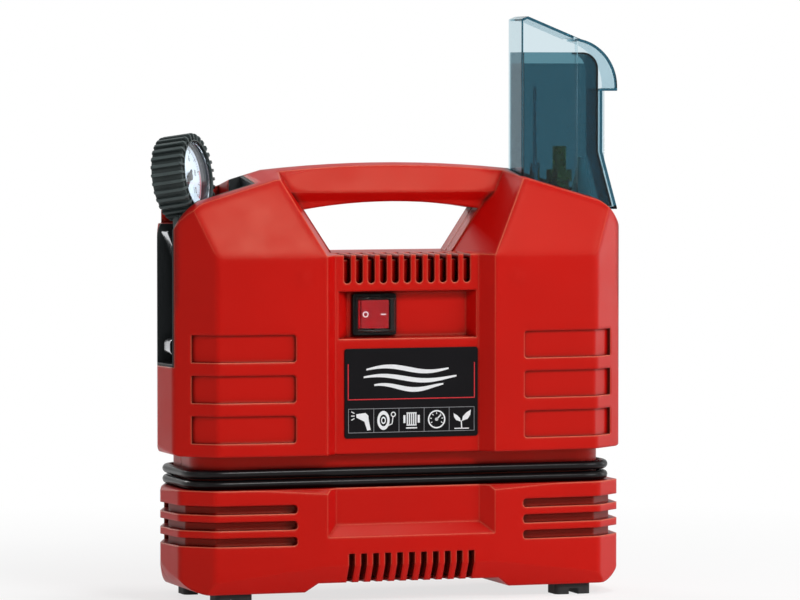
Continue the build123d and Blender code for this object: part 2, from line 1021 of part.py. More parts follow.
with BuildPart() as foot_screws:
    for x, y in foot_places:
        ring_z(foot_notch_rise, foot_seat_z, x, y, foot_head_r)
        ring_z(foot_seat_z, base_z + foot_screw_bite, x, y, foot_screw_d / 2)
write(foot_screws, "foot_screws")

with BuildPart() as housing_screws:
    for x, z in screw_places:
        ring_y(screw_seat_y, screw_seat_y + screw_head_h, x, z, screw_head_d / 2)
        ring_y(-screw_bite, screw_seat_y, x, z, screw_d / 2)
write(housing_screws, "housing_screws")

# Cord gland: a tapered sleeve along the rear of the neck, rooted in its wall
cord_rear_y = neck_rear + cord_d / 2 + cord_gap
cord_front_y = -neck_front - cord_d / 2 - cord_gap
cord_side_x = neck_half + cord_d / 2 + cord_gap
cord_corner = neck_corner + cord_d / 2 + cord_gap
cord_high_z = cord_low_z + cord_pitch

with BuildPart() as cord_gland:
    for x, radius in ((gland_x, gland_tip_r), (gland_x + gland_length, gland_r)):
        with BuildSketch(Plane.YZ.offset(x)):
            with Locations((cord_rear_y, cord_low_z)):
                Circle(radius)
    loft()
    block((gland_x - 1, gland_x + gland_length), (0, neck_rear + fit), (0, body_z), mode=Mode.SUBTRACT)
    block(
        (gland_root_x - gland_root / 2, gland_root_x + gland_root / 2),
        (neck_rear - wall - gland_lock, cord_rear_y + gland_r),
        (deck_z + 2 * fit, cord_low_z + gland_r),
    )
    block((-300, 300), (-300, 300), (0, deck_z + fit), mode=Mode.SUBTRACT)
write(cord_gland, "cord_gland")

# Cord: two turns round the neck, then out to the plug parked at the rear
plug_y = cord_rear_y + cord_d / 2 + plug_gap + plug_thick / 2
plug_z = deck_z + plug_gap + plug_height / 2
cord_route = [
    ((gland_x, cord_rear_y, cord_low_z), 0),
    ((-cord_side_x, cord_rear_y, cord_low_z), cord_corner),
    ((-cord_side_x, cord_front_y, cord_low_z), cord_corner),
    ((cord_side_x, cord_front_y, cord_low_z), cord_corner),
    ((cord_side_x, cord_rear_y, cord_low_z), cord_corner),
    ((climb_start_x, cord_rear_y, cord_low_z), climb_radius),
    ((climb_end_x, cord_rear_y, cord_high_z), climb_radius),
    ((-cord_side_x, cord_rear_y, cord_high_z), cord_corner),
    ((-cord_side_x, cord_front_y, cord_high_z), cord_corner),
    ((cord_side_x, cord_front_y, cord_high_z), cord_corner),
    ((cord_side_x, tail_corner_y, cord_high_z), tail_radius),
    ((tail_turn_x, plug_y, plug_z), climb_radius),
    ((plug_tail_x, plug_y, plug_z), 0),
]
cord_points = [point for point, radius in cord_route]
with BuildPart() as cord_winding:
    with BuildLine() as cord_path:
        FilletPolyline(*cord_points, radius=[radius for point, radius in cord_route[1:-1]])
    with BuildSketch(Plane(cord_path.line @ 0, z_dir=cord_path.line % 0)):
        Circle(cord_d / 2)
    sweep(path=cord_path.line)
write(cord_winding, "cord_winding")


def least_gap(path, diameter, step):
    """Smallest gap between stretches of a tube that are not next to each other."""
    count = int(path.length / step)
    points = [path @ (i / count) for i in range(count + 1)]
    apart = int(6 * diameter / step)
    return min(
        (points[i] - points[j]).length
        for i in range(0, count + 1)
        for j in range(i + apart, count + 1)
    ) - diameter


cord_length = cord_path.wire().length
cord_volume = pi * (cord_d / 2) ** 2 * cord_length
print("cord length", round(cord_length, 1))
print("cord gap to itself", round(least_gap(cord_path.wire(), cord_d, 4.0), 2))
print("cord volume ratio", round(cord_winding.part.volume / cord_volume, 4))
print("cord radii", [round(radius, 1) for point, radius in cord_route[1:-1]])

with BuildPart() as mains_plug:
    with BuildSketch(Plane.YZ.offset(plug_tail_x)):
        with Locations((plug_y, plug_z)):
            Circle(plug_tail_r)
    with BuildSketch(Plane.YZ.offset(plug_tail_x - plug_tail)):
        with Locations((plug_y, plug_z)):
            Circle(plug_collar_r)
    loft()
    plug_face_x = plug_tail_x - plug_tail - plug_length
    with BuildSketch(Plane.YZ.offset(plug_face_x)):
        with Locations((plug_y, plug_z)):
            RectangleRounded(plug_thick, plug_height, plug_corner)
    extrude(amount=plug_length)
    fillet(mains_plug.faces().sort_by(Axis.X)[0].edges(), plug_round)
write(mains_plug, "mains_plug")

with BuildPart() as plug_pins:
    for way in (-1, 1):
        ring_x(plug_face_x - pin_length, plug_face_x, plug_y, plug_z + way * pin_pitch / 2, pin_d / 2)
write(plug_pins, "plug_pins")

# Switch: frame with its body, terminals, rocker and clear cover
window_width = rocker_width + 2 * rocker_gap
window_height = rocker_height + 2 * rocker_gap
with BuildPart() as switch_frame:
    with BuildSketch(Plane.XZ.offset(-switch_y)):
        with Locations((switch_x, switch_z)):
            RectangleRounded(bezel_width, bezel_height, bezel_corner)
    extrude(amount=bezel_thick)
    block(
        (switch_x - switch_body_width / 2, switch_x + switch_body_width / 2),
        (switch_y, switch_y + switch_body_depth),
        (switch_z - switch_body_height / 2, switch_z + switch_body_height / 2),
    )
    block(
        (switch_x - window_width / 2, switch_x + window_width / 2),
        (switch_y - bezel_thick - 1, switch_y + switch_body_depth - 2),
        (switch_z - window_height / 2, switch_z + window_height / 2),
        mode=Mode.SUBTRACT,
    )
    ring_z(
        switch_z - switch_body_height / 2,
        switch_z + switch_body_height / 2,
        switch_x,
        switch_y + rocker_pivot_y,
        rocker_pin_r,
    )
write(switch_frame, "switch_frame")

with BuildPart() as switch_rocker:
    lean = radians(rocker_lean)
    pivot = (switch_x, switch_y + rocker_pivot_y, switch_z - rocker_height / 2)
    half = rocker_width / 2
    with BuildSketch(Plane(pivot, x_dir=(cos(lean), sin(lean), 0), z_dir=(0, 0, 1))):
        with BuildLine():
            ThreePointArc((-half, -rocker_rise), (0, -rocker_rise + rocker_dish), (half, -rocker_rise))
            Polyline(
                (half, -rocker_rise),
                (half - 1.0, rocker_drop),
                (-half + 1.0, rocker_drop),
                (-half, -rocker_rise),
            )
        make_face()
        Circle(rocker_pin_r + rocker_pin_gap, mode=Mode.SUBTRACT)
    extrude(amount=rocker_height)
write(switch_rocker, "switch_rocker")

with BuildPart() as switch_cover:
    cover_y = switch_y - bezel_thick
    for grow, deep in ((0.0, cover_depth), (-cover_wall, cover_depth - cover_wall)):
        with BuildSketch(Plane.XZ.offset(-cover_y)):
            with Locations((switch_x, switch_z)):
                RectangleRounded(cover_width + 2 * grow, cover_height + 2 * grow, bezel_corner + 1 + grow)
        extrude(amount=deep, taper=cover_taper, mode=Mode.SUBTRACT if grow else Mode.ADD)
write(switch_cover, "switch_cover")

with BuildPart() as switch_terminals:
    back = switch_y + switch_body_depth
    for dx in (-terminal_pitch / 2, terminal_pitch / 2):
        for dz in (-terminal_pitch / 2, terminal_pitch / 2):
            block(
                (switch_x + dx - terminal_thick / 2, switch_x + dx + terminal_thick / 2),
                (back, back + terminal_length),
                (switch_z + dz - terminal_width / 2, switch_z + dz + terminal_width / 2),
            )
write(switch_terminals, "switch_terminals")

# Storage box, drawn lifted out of its bay: clear hood, tinted tub and the adapters it keeps
box_left = box_bay_inner + liner_wall + box_gap
box_low = box_bay_z + liner_wall + box_gap + box_lift
box_front = -bay_front + liner_wall + box_gap
box_rear = -box_gap


def box_face(amount):
    """Outline of the storage box in the XZ plane, moved in by an amount, as a sketch."""
    with BuildSketch(Plane.XZ) as face:
        with BuildLine():
            Polyline(
                (box_left, box_low),
                (box_foot_x, box_low),
                (box_foot_x, box_low + 1),
                (box_side_x, box_low + box_flare_rise),
                (box_side_x, box_low + box_cap_rise),
                (box_foot_x, box_low + box_cap_rise),
                (box_foot_x, box_low + box_cap_rise + 3),
            )
            TangentArc(
                (box_foot_x, box_low + box_cap_rise + 3), (box_knee_x, box_low + box_knee_rise), tangent=(0, 1)
            )
            Polyline(
                (box_knee_x, box_low + box_knee_rise),
                (box_left + 5, box_low + box_height),
                (box_left, box_low + box_height - 2),
                (box_left, box_low),
            )
        make_face()
        if amount:
            offset(amount=-amount)
    return face.sketch


with BuildPart() as storage_box:
    extrude(box_face(0), amount=-box_front)
    extrude(box_face(box_wall), amount=-box_front - box_wall, mode=Mode.SUBTRACT)
    block((0, 300), (box_rear, 50), (0, 600), mode=Mode.SUBTRACT)
    block(
        (box_rib_x, box_rib_x + box_rib),
        (box_front + box_wall, box_rear),
        (box_low + 1, box_low + box_knee_rise),
    )
    block(
        (box_rib_x - 1, box_rib_x + box_rib + 1),
        (box_front + box_wall + box_rib, 50),
        (0, 600),
        mode=Mode.SUBTRACT,
    )
    # Clear back that fills the waist of the box out to its foot
    with BuildSketch(Plane.XZ.offset(-box_rear)):
        with BuildLine():
            Polyline(
                (box_foot_x, box_low + 1),
                (box_foot_x, box_low + box_cap_rise),
                (box_side_x, box_low + box_cap_rise),
                (box_side_x, box_low + box_flare_rise),
                close=True,
            )
        make_face()
    extrude(amount=box_wall)
write(storage_box, "storage_box")

tub_front = box_front + box_wall + box_rib + box_gap
tub_rear = box_rear - box_gap
tub_side = box_side_x - box_wall - box_gap
with BuildPart() as tub_hollow:
    extrude(box_face(box_wall + box_gap + tub_wall), amount=-tub_front - tub_wall)
    block((0, 300), (tub_rear - tub_wall, 50), (0, box_low + tub_back_rise), mode=Mode.SUBTRACT)
    # Its side follows the tub's rounded corner up to the open top
    with BuildSketch(Plane.XZ):
        with BuildLine():
            side_line = Polyline(
                (tub_side - tub_round, box_low + tub_rise + 1),
                (box_left - 1, box_low + tub_rise + 1),
                (box_left - 1, box_low - 1),
                (box_foot_x + 1, box_low - 1),
                (box_foot_x + 1, box_low + box_flare_rise + 5),
                (tub_side - tub_wall, box_low + box_flare_rise + 5),
                (tub_side - tub_wall, box_low + tub_rise - tub_round),
            )
            corner_line = RadiusArc(
                side_line @ 1,
                (tub_side - tub_round, box_low + tub_rise - tub_wall),
                -(tub_round - tub_wall),
            )
            Line(corner_line @ 1, side_line @ 0)
        make_face()
    extrude(amount=-box_front + 10, mode=Mode.INTERSECT)

with BuildPart() as storage_tub:
    extrude(box_face(box_wall + box_gap), amount=-tub_front)
    block((0, 300), (tub_rear, 50), (0, 600), mode=Mode.SUBTRACT)
    # Level top, rounded where it passes under the cap
    with BuildSketch(Plane.XZ) as room:
        with BuildLine():
            Polyline(
                (box_left - 1, box_low - 1),
                (box_foot_x + 1, box_low - 1),
                (box_foot_x + 1, box_low + box_flare_rise + 5),
                (tub_side, box_low + box_flare_rise + 5),
                (tub_side, box_low + tub_rise),
                (box_left - 1, box_low + tub_rise),
                close=True,
            )
        make_face()
        fillet(room.vertices().group_by(Axis.Y)[-1].sort_by(Axis.X)[-1], tub_round)
    extrude(amount=-box_front + 10, mode=Mode.INTERSECT)
    add(tub_hollow.part, mode=Mode.SUBTRACT)
write(storage_tub, "storage_tub")

adapter_y = (box_front + box_rear) / 2
adapter_z = box_low + box_wall + 2 * box_gap + tub_wall
with BuildPart() as ball_needle:
    ring_z(adapter_z, adapter_z + 12, needle_x, adapter_y, 6.0)
    ring_z(adapter_z + 12, adapter_z + 30, needle_x, adapter_y, 3.6)
    ring_z(adapter_z + 30, adapter_z + needle_height, needle_x, adapter_y, 1.4)
write(ball_needle, "ball_needle")

with BuildPart() as valve_adapter:
    ring_z(adapter_z, adapter_z + 16, valve_x, adapter_y, 7.0)
    with BuildSketch(Plane.XY.offset(adapter_z + 16)):
        with Locations((valve_x, adapter_y)):
            RegularPolygon(10.0, 6)
    extrude(amount=9)
    ring_z(adapter_z + 25, adapter_z + valve_height, valve_x, adapter_y, 5.0)
    ring_z(adapter_z + 30, adapter_z + valve_height + 1, valve_x, adapter_y, 2.6, mode=Mode.SUBTRACT)
write(valve_adapter, "valve_adapter")

with BuildPart() as cone_adapter:
    with BuildSketch(Plane.XZ.offset(-adapter_y)):
        with BuildLine():
            Polyline(
                (cone_x, adapter_z),
                (cone_x + 7.0, adapter_z),
                (cone_x + 7.0, adapter_z + 10),
                (cone_x + 2.4, adapter_z + cone_height),
                (cone_x, adapter_z + cone_height),
                close=True,
            )
        make_face()
    revolve(axis=Axis((cone_x, adapter_y, 0), (0, 0, 1)))
write(cone_adapter, "cone_adapter")

# Inflator gun in the left bay
with BuildPart() as gun_body:
    with BuildSketch(Plane.XY.offset(grip_z)):
        with Locations(((grip_left + grip_right) / 2, gun_y)):
            RectangleRounded(grip_right - grip_left, grip_thick, grip_corner)
    extrude(amount=head_z - grip_z)
    with BuildSketch(Plane.XY.offset(head_z)):
        with Locations(((head_left + head_right) / 2, gun_y)):
            RectangleRounded(head_right - head_left, head_thick, 4.0)
    extrude(amount=head_top - head_z)
    block(
        (shelf_left, head_left + 6),
        (gun_y - head_thick / 2, gun_y + head_thick / 2),
        (shelf_z, head_top),
    )
    block(
        (tongue_left, head_left + 6),
        (gun_y - tongue_thick / 2, gun_y + tongue_thick / 2),
        (lever_z - tongue_height / 2, lever_z + tongue_height / 2),
    )
    ring_y(gun_y - 20, gun_y + 20, lever_x, lever_z, lever_pin_r + fit, mode=Mode.SUBTRACT)
    ring_z(head_top - stem_bite, head_top + 1, gauge_x, stem_y, stem_r + fit, mode=Mode.SUBTRACT)
    ring_z(grip_z - 1, grip_z + nipple_bite, nipple_x, gun_y, nipple_r + fit, mode=Mode.SUBTRACT)
    ring_x(head_right - chuck_bite, head_right + 1, gun_y, chuck_z, chuck_r - 2 + fit, mode=Mode.SUBTRACT)
    for row in range(grip_rows):
        z = grip_z + grip_first + row * grip_pitch
        block((grip_right - grip_groove, grip_right + 1), (-60, 60), (z, z + grip_groove), mode=Mode.SUBTRACT)
write(gun_body, "gun_body")

with BuildPart() as gun_nipple:
    ring_z(grip_z - nipple_drop, grip_z + nipple_bite - fit, nipple_x, gun_y, nipple_r, 2.0)
    ring_z(grip_z - 3, grip_z - fit, nipple_x, gun_y, nipple_r + 2.5, 2.0)
    for rise in (nipple_drop - 1, nipple_drop - 4.5):
        ring_z(grip_z - rise - 1, grip_z - rise + 1, nipple_x, gun_y, nipple_r + 0.8, 2.0)
write(gun_nipple, "gun_nipple")

with BuildPart() as gun_chuck:
    ring_x(head_right - chuck_bite + fit, head_right, gun_y, chuck_z, chuck_r - 2, 2.5)
    ring_x(head_right + fit, head_right + chuck_length, gun_y, chuck_z, chuck_r, 2.5)
    ring_x(head_right, head_right + 1, gun_y, chuck_z, chuck_r - 2, 2.5)
write(gun_chuck, "gun_chuck")

lever_route = [
    ((lever_x - 14.5, lever_z + 13.0), 0),
    ((lever_x - 5.5, lever_z - 9.0), 14.0),
    ((lever_x - 3.0, lever_z - 54.0), 20.0),
    ((lever_x - 4.0, lever_z - 61.0), 5.0),
    ((lever_x - 12.5, lever_z - 65.0), 3.0),
    ((lever_x - 12.5, lever_z - 74.0), 3.0),
    ((lever_x - 6.5, lever_z - 74.0), 0),
]
with BuildPart() as gun_lever:
    with BuildSketch(Plane.XZ.offset(-gun_y - lever_width / 2)):
        with BuildLine():
            FilletPolyline(
                *[point for point, bend in lever_route],
                radius=[bend for point, bend in lever_route[1:-1]],
            )
        trace(line_width=lever_thick)
    extrude(amount=lever_width)
    for y in (gun_y - lever_width / 2, gun_y + lever_width / 2 - lever_thick):
        with BuildSketch(Plane.XZ.offset(-y)):
            with BuildLine():
                Polyline(
                    (lever_x - 10.9, lever_z + 5.0),
                    (lever_x + 4.0, lever_z + 4.5),
                    (lever_x + 4.0, lever_z - 4.0),
                    (lever_x - 5.7, lever_z - 8.5),
                    close=True,
                )
            make_face()
        extrude(amount=-lever_thick)
    ring_y(gun_y - 20, gun_y + 20, lever_x, lever_z, lever_pin_r + lever_pin_gap, mode=Mode.SUBTRACT)
write(gun_lever, "gun_lever")

with BuildPart() as lever_pin:
    ring_y(gun_y - lever_width / 2 - 1.2, gun_y + lever_width / 2 + 1.2, lever_x, lever_z, lever_pin_r)
write(lever_pin, "lever_pin")

# Pressure gauge on the gun, turned about its own axis
gauge_axis = Vector(*gauge_way).normalized()
gauge_back = Vector(gauge_x, gauge_y, gauge_z) - gauge_axis * (boot_length / 2)
gauge_plane = Plane(gauge_back, x_dir=gauge_axis.cross(Vector(0, 0, 1)), z_dir=gauge_axis)


def gauge_ring(start, end, outer_r, inner_r=0.0, mode=Mode.ADD):
    """Disc or ring about the gauge's axis, in the part being built."""
    with BuildSketch(gauge_plane.offset(start)) as disc:
        Circle(outer_r)
        if inner_r:
            Circle(inner_r, mode=Mode.SUBTRACT)
    extrude(disc.sketch, amount=end - start, mode=mode)


with BuildPart() as gauge_boot:
    gauge_ring(0, boot_length, boot_r)
    fillet(gauge_boot.edges().filter_by(GeomType.CIRCLE), boot_round)
    # Ribs along the drum that turn in over the front rim as teeth
    with BuildSketch(gauge_plane.offset(-1)):
        with PolarLocations(boot_r, boot_ribs):
            Rectangle(2 * boot_groove, boot_groove_width)
    extrude(amount=boot_length + 2, mode=Mode.SUBTRACT)
    with BuildSketch(gauge_plane.offset(boot_length - boot_tooth)):
        with PolarLocations(boot_r, boot_ribs):
            Rectangle(2 * (boot_r - lip_r - 1), boot_groove_width)
    extrude(amount=boot_tooth + 1, mode=Mode.SUBTRACT)
    # Neck down to the gun, over the stem and its nut
    neck_low = head_top + 2 * fit
    nut_high = head_top + fit + stem_nut + fit
    ring_z(neck_low, gauge_z - case_r, gauge_x, stem_y, boot_neck_r)
    gauge_ring(boot_back, boot_length - boot_lip, case_r + fit, mode=Mode.SUBTRACT)
    gauge_ring(boot_length - boot_lip, boot_length + 1, lip_r, mode=Mode.SUBTRACT)
    ring_z(neck_low - 1, nut_high, gauge_x, stem_y, stem_r + 1.6 + fit, mode=Mode.SUBTRACT)
    ring_z(neck_low - 1, gauge_z - case_r + 6, gauge_x, stem_y, stem_r + 2 * fit, mode=Mode.SUBTRACT)
write(gauge_boot, "gauge_boot")

with BuildPart() as gauge_case:
    gauge_ring(boot_back + fit, boot_length - boot_lip - fit, case_r)
    gauge_ring(dial_at, boot_length, dial_r + 2 * fit, mode=Mode.SUBTRACT)
write(gauge_case, "gauge_case")

with BuildPart() as gauge_dial:
    gauge_ring(dial_at, dial_at + dial_thick, dial_r, needle_shaft_r + 2 * fit)
write(gauge_dial, "gauge_dial")

with BuildPart() as gauge_needle:
    gauge_ring(dial_at + 0.3, needle_at, needle_shaft_r)
    gauge_ring(needle_at, needle_at + 1.4, needle_hub_r)
    aim = radians(needle_zero)
    with BuildSketch(gauge_plane.offset(needle_at)):
        with BuildLine():
            Polyline(
                (needle_reach * cos(aim), needle_reach * sin(aim)),
                (needle_hub_r * 0.6 * cos(aim + pi / 2), needle_hub_r * 0.6 * sin(aim + pi / 2)),
                (-needle_tail * cos(aim) - sin(aim), -needle_tail * sin(aim) + cos(aim)),
                (-needle_tail * cos(aim) + sin(aim), -needle_tail * sin(aim) - cos(aim)),
                (needle_hub_r * 0.6 * cos(aim - pi / 2), needle_hub_r * 0.6 * sin(aim - pi / 2)),
                close=True,
            )
        make_face()
    extrude(amount=0.8)
write(gauge_needle, "gauge_needle")

with BuildPart() as gauge_glass:
    gauge_ring(glass_at, glass_at + glass_thick, dial_r + fit)
write(gauge_glass, "gauge_glass")

with BuildPart() as gauge_stem:
    ring_z(head_top - stem_bite + fit, gauge_z - 10, gauge_x, stem_y, stem_r)
    with BuildSketch(Plane.XY.offset(head_top + fit)):
        with Locations((gauge_x, stem_y)):
            RegularPolygon(stem_r + 1.6, 6)
    extrude(amount=stem_nut)
    gauge_ring(boot_back - 20, boot_length + 20, case_r + fit, mode=Mode.SUBTRACT)
write(gauge_stem, "gauge_stem")

# Motor, lying along X in the base
stator_right = stator_left + stator_length
bolt_places = [(y, z) for y in (-bolt_pitch / 2, bolt_pitch / 2) for z in (-bolt_pitch / 2, bolt_pitch / 2)]
with BuildPart() as motor_stator:
    with BuildSketch(Plane.YZ.offset(stator_left)):
        with Locations((0, motor_z)):
            RectangleRounded(stator_size, stator_size, 6.0)
            Circle(stator_bore_r, mode=Mode.SUBTRACT)
            for y, z in bolt_places:
                with Locations((y, z)):
                    Circle(bolt_r + fit, mode=Mode.SUBTRACT)
    extrude(amount=stator_length)
write(motor_stator, "motor_stator")

with BuildPart() as stator_coils:
    ring_x(stator_left - coil_length, stator_left, 0, motor_z, coil_outer_r, coil_inner_r)
    ring_x(stator_right, stator_right + coil_length, 0, motor_z, coil_outer_r, coil_inner_r)
write(stator_coils, "stator_coils")

with BuildPart() as rotor_core:
    with BuildSketch(Plane.YZ.offset(stator_left)):
        with Locations((0, motor_z)):
            Circle(rotor_r)
            with PolarLocations(rotor_r, rotor_slots):
                Rectangle(2 * rotor_slot_depth, rotor_slot_width, mode=Mode.SUBTRACT)
            Circle(shaft_r + press, mode=Mode.SUBTRACT)
    extrude(amount=stator_length)
write(rotor_core, "rotor_core")

with BuildPart() as motor_shaft:
    ring_x(shaft_left, shaft_right, 0, motor_z, shaft_r)
write(motor_shaft, "motor_shaft")

with BuildPart() as commutator:
    ring_x(commutator_left, commutator_left + commutator_length, 0, motor_z, commutator_r, shaft_r + press)
write(commutator, "commutator")

with BuildPart() as cooling_fan:
    ring_x(fan_left, fan_left + 2, 0, motor_z, fan_r, shaft_r + press)
    ring_x(fan_left, fan_left + fan_length, 0, motor_z, shaft_r + 4, shaft_r + press)
    with BuildSketch(Plane.YZ.offset(fan_left + 1)):
        with Locations((0, motor_z)):
            with PolarLocations((fan_r + shaft_r + 2) / 2, fan_blades):
                Rectangle(fan_r - shaft_r - 4, 1.6)
    extrude(amount=fan_length - 1)
write(cooling_fan, "cooling_fan")

with BuildPart() as brush_bracket:
    with BuildSketch(Plane.YZ.offset(bracket_left)):
        with Locations((0, motor_z)):
            RectangleRounded(stator_size, stator_size, 6.0)
            Circle(bearing_r + press, mode=Mode.SUBTRACT)
            for y, z in bolt_places:
                with Locations((y, z)):
                    Circle(bolt_r + fit, mode=Mode.SUBTRACT)
    extrude(amount=bearing_length)
    for way in (-1, 1):
        inner_y = way * (commutator_r + 2)
        outer_y = way * stator_size / 2
        block(
            (bracket_left + bearing_length - 1, commutator_left + commutator_length),
            (min(inner_y, outer_y), max(inner_y, outer_y)),
            (motor_z - brush_height / 2 - 2, motor_z + brush_height / 2 + 2),
        )
    block(
        (commutator_left + 2 - fit, commutator_left + 2 + brush_width + fit),
        (-60, 60),
        (motor_z - brush_height / 2 - fit, motor_z + brush_height / 2 + fit),
        mode=Mode.SUBTRACT,
    )
write(brush_bracket, "brush_bracket")

with BuildPart() as carbon_brushes:
    for way in (-1, 1):
        inner_y = way * (commutator_r + 0.35)
        outer_y = way * (commutator_r + brush_length)
        block(
            (commutator_left + 2, commutator_left + 2 + brush_width),
            (min(inner_y, outer_y), max(inner_y, outer_y)),
            (motor_z - brush_height / 2, motor_z + brush_height / 2),
        )
write(carbon_brushes, "carbon_brushes")

with BuildPart() as motor_bearings:
    ring_x(bracket_left, bracket_left + bearing_length, 0, motor_z, bearing_r, shaft_r + running)
    ring_x(frame_left, frame_left + frame_plate, 0, motor_z, bearing_r, shaft_r + running)
write(motor_bearings, "motor_bearings")

with BuildPart() as motor_bolts:
    for y, z in bolt_places:
        ring_x(bracket_left - bolt_head, bracket_left, y, motor_z + z, bolt_r + 1.6)
        ring_x(bracket_left, frame_left + frame_plate, y, motor_z + z, bolt_r)
write(motor_bolts, "motor_bolts")

# Pump: frame, gear drive, crank, rod with wobble piston, cylinder and head
gear_z = motor_z + pinion_teeth * gear_module / 2 + gear_teeth * gear_module / 2 + gear_slack
pump_x = gear_left + gear_width + rod_gap + rod_thick / 2
with BuildPart() as pump_frame:
    block((frame_left, frame_left + frame_plate), (-frame_half, frame_half), (frame_low, frame_top))
    block((frame_left, frame_right), (-frame_half, frame_half), (frame_top - frame_deck, frame_top))
    block((frame_left, frame_right), (-frame_half, frame_half), (frame_low, frame_low + frame_deck))
    ring_x(frame_left - 1, frame_left + 9, 0, motor_z, bearing_r + press, mode=Mode.SUBTRACT)
    ring_x(frame_left - 1, frame_left + 9, 0, gear_z, crank_bearing_r + press, mode=Mode.SUBTRACT)
    for y, z in bolt_places:
        ring_x(frame_left - 1, frame_left + 9, y, motor_z + z, bolt_r + fit, mode=Mode.SUBTRACT)
    ring_z(frame_top - 9, frame_top + 1, pump_x, 0, bore_r, mode=Mode.SUBTRACT)
    for dx in (-head_bolt_pitch / 2, head_bolt_pitch / 2):
        for dy in (-head_bolt_pitch / 2, head_bolt_pitch / 2):
            ring_z(frame_top - 9, frame_top + 1, pump_x + dx, dy, head_bolt_r + fit, mode=Mode.SUBTRACT)
write(pump_frame, "pump_frame")


def tooth_outline(teeth, phase):
    """Outline of a spur gear with straight flanks, thinned for backlash."""
    pitch_r = teeth * gear_module / 2
    points = []
    for tooth in range(teeth):
        middle = 2 * pi * tooth / teeth + phase
        for radius, sign in (
            (pitch_r - gear_root, -1),
            (pitch_r + gear_tip, -1),
            (pitch_r + gear_tip, 1),
            (pitch_r - gear_root, 1),
        ):
            thick = pi * gear_module / 2 - gear_backlash - 2 * tan(radians(20)) * (radius - pitch_r)
            angle = middle + sign * thick / 2 / radius
            points.append((radius * cos(angle), radius * sin(angle)))
    return points


with BuildPart() as drive_pinion:
    with BuildSketch(Plane((gear_left, 0, motor_z), x_dir=(0, 1, 0), z_dir=(1, 0, 0))):
        with BuildLine():
            Polyline(tooth_outline(pinion_teeth, pi / 2 + pi / pinion_teeth), close=True)
        make_face()
        Circle(shaft_r + press, mode=Mode.SUBTRACT)
    extrude(amount=gear_width)
write(drive_pinion, "drive_pinion")

with BuildPart() as drive_gear:
    with BuildSketch(Plane((gear_left, 0, gear_z), x_dir=(0, 1, 0), z_dir=(1, 0, 0))):
        with BuildLine():
            Polyline(tooth_outline(gear_teeth, -pi / 2), close=True)
        make_face()
        Circle(crank_shaft_r + press, mode=Mode.SUBTRACT)
        with Locations((0, crank_r)):
            Circle(crank_pin_r + press, mode=Mode.SUBTRACT)
        with Locations((0, -gear_hole_at)):
            Circle(gear_hole_r, mode=Mode.SUBTRACT)
    extrude(amount=gear_width)
write(drive_gear, "drive_gear")

with BuildPart() as crank_shaft:
    ring_x(frame_left - 4, gear_left + gear_width, 0, gear_z, crank_shaft_r)
write(crank_shaft, "crank_shaft")

with BuildPart() as crank_bearing:
    ring_x(frame_left, frame_left + frame_plate, 0, gear_z, crank_bearing_r, crank_shaft_r + running)
write(crank_bearing, "crank_bearing")

with BuildPart() as crank_pin:
    ring_x(gear_left, gear_left + gear_width + rod_gap - running, 0, gear_z + crank_r, crank_pin_r)
write(crank_pin, "crank_pin")

piston_z = gear_z + crank_r + rod_length
with BuildPart() as connecting_rod:
    ring_x(pump_x - rod_thick / 2, pump_x + rod_thick / 2, 0, gear_z + crank_r, rod_eye_r, crank_pin_r)
    block(
        (pump_x - rod_thick / 2, pump_x + rod_thick / 2),
        (-rod_width / 2, rod_width / 2),
        (gear_z + crank_r + rod_eye_r - 1, piston_z),
    )
    ring_z(piston_z, piston_z + piston_thick, pump_x, 0, piston_r - seal_lip)
    ring_z(piston_z + piston_thick, piston_z + 2 * piston_thick, pump_x, 0, piston_r - 2 * seal_lip)
write(connecting_rod, "connecting_rod")

with BuildPart() as piston_seal:
    seal_z = piston_z + piston_thick
    ring_z(seal_z, seal_z + seal_thick, pump_x, 0, piston_r, piston_r - 2 * seal_lip + press)
write(piston_seal, "piston_seal")

cylinder_top = frame_top + cylinder_height
with BuildPart() as pump_cylinder:
    ring_z(frame_top, cylinder_top, pump_x, 0, cylinder_r, bore_r)
    for fin in range(fin_count):
        z = frame_top + fin * fin_pitch
        ring_z(z, z + fin_thick, pump_x, 0, fin_r, bore_r)
write(pump_cylinder, "pump_cylinder")

head_bolt_places = [
    (pump_x + dx, dy)
    for dx in (-head_bolt_pitch / 2, head_bolt_pitch / 2)
    for dy in (-head_bolt_pitch / 2, head_bolt_pitch / 2)
]
with BuildPart() as valve_plate:
    block(
        (pump_x - head_size / 2, pump_x + head_size / 2),
        (-head_size / 2, head_size / 2),
        (cylinder_top, cylinder_top + valve_thick),
    )
    for x, y in head_bolt_places:
        ring_z(0, 400, x, y, head_bolt_r + fit, mode=Mode.SUBTRACT)
    for dx in (-8, 8):
        ring_z(0, 400, pump_x + dx, 0, 3.0, mode=Mode.SUBTRACT)
write(valve_plate, "valve_plate")

head_low = cylinder_top + valve_thick
head_high = head_low + head_height
with BuildPart() as cylinder_head:
    block(
        (pump_x - head_size / 2, pump_x + head_size / 2),
        (-head_size / 2, head_size / 2),
        (head_low, head_high),
    )
    ring_z(head_low, head_high - 8, pump_x, 0, 16.0, mode=Mode.SUBTRACT)
    for slot in range(-3, 4):
        block((-200, 200), (slot * 7 - 1.5, slot * 7 + 1.5), (head_high - 5, head_high + 1), mode=Mode.SUBTRACT)
    for x, y in head_bolt_places:
        ring_z(0, 400, x, y, head_bolt_r + fit, mode=Mode.SUBTRACT)
    ring_y(0, head_size, pump_x, pipe_z, pipe_r + press, mode=Mode.SUBTRACT)
write(cylinder_head, "cylinder_head")

with BuildPart() as head_bolts:
    for x, y in head_bolt_places:
        ring_z(frame_top - frame_deck, head_high, x, y, head_bolt_r)
        ring_z(head_high, head_high + 4, x, y, head_bolt_r + 2)
write(head_bolts, "head_bolts")

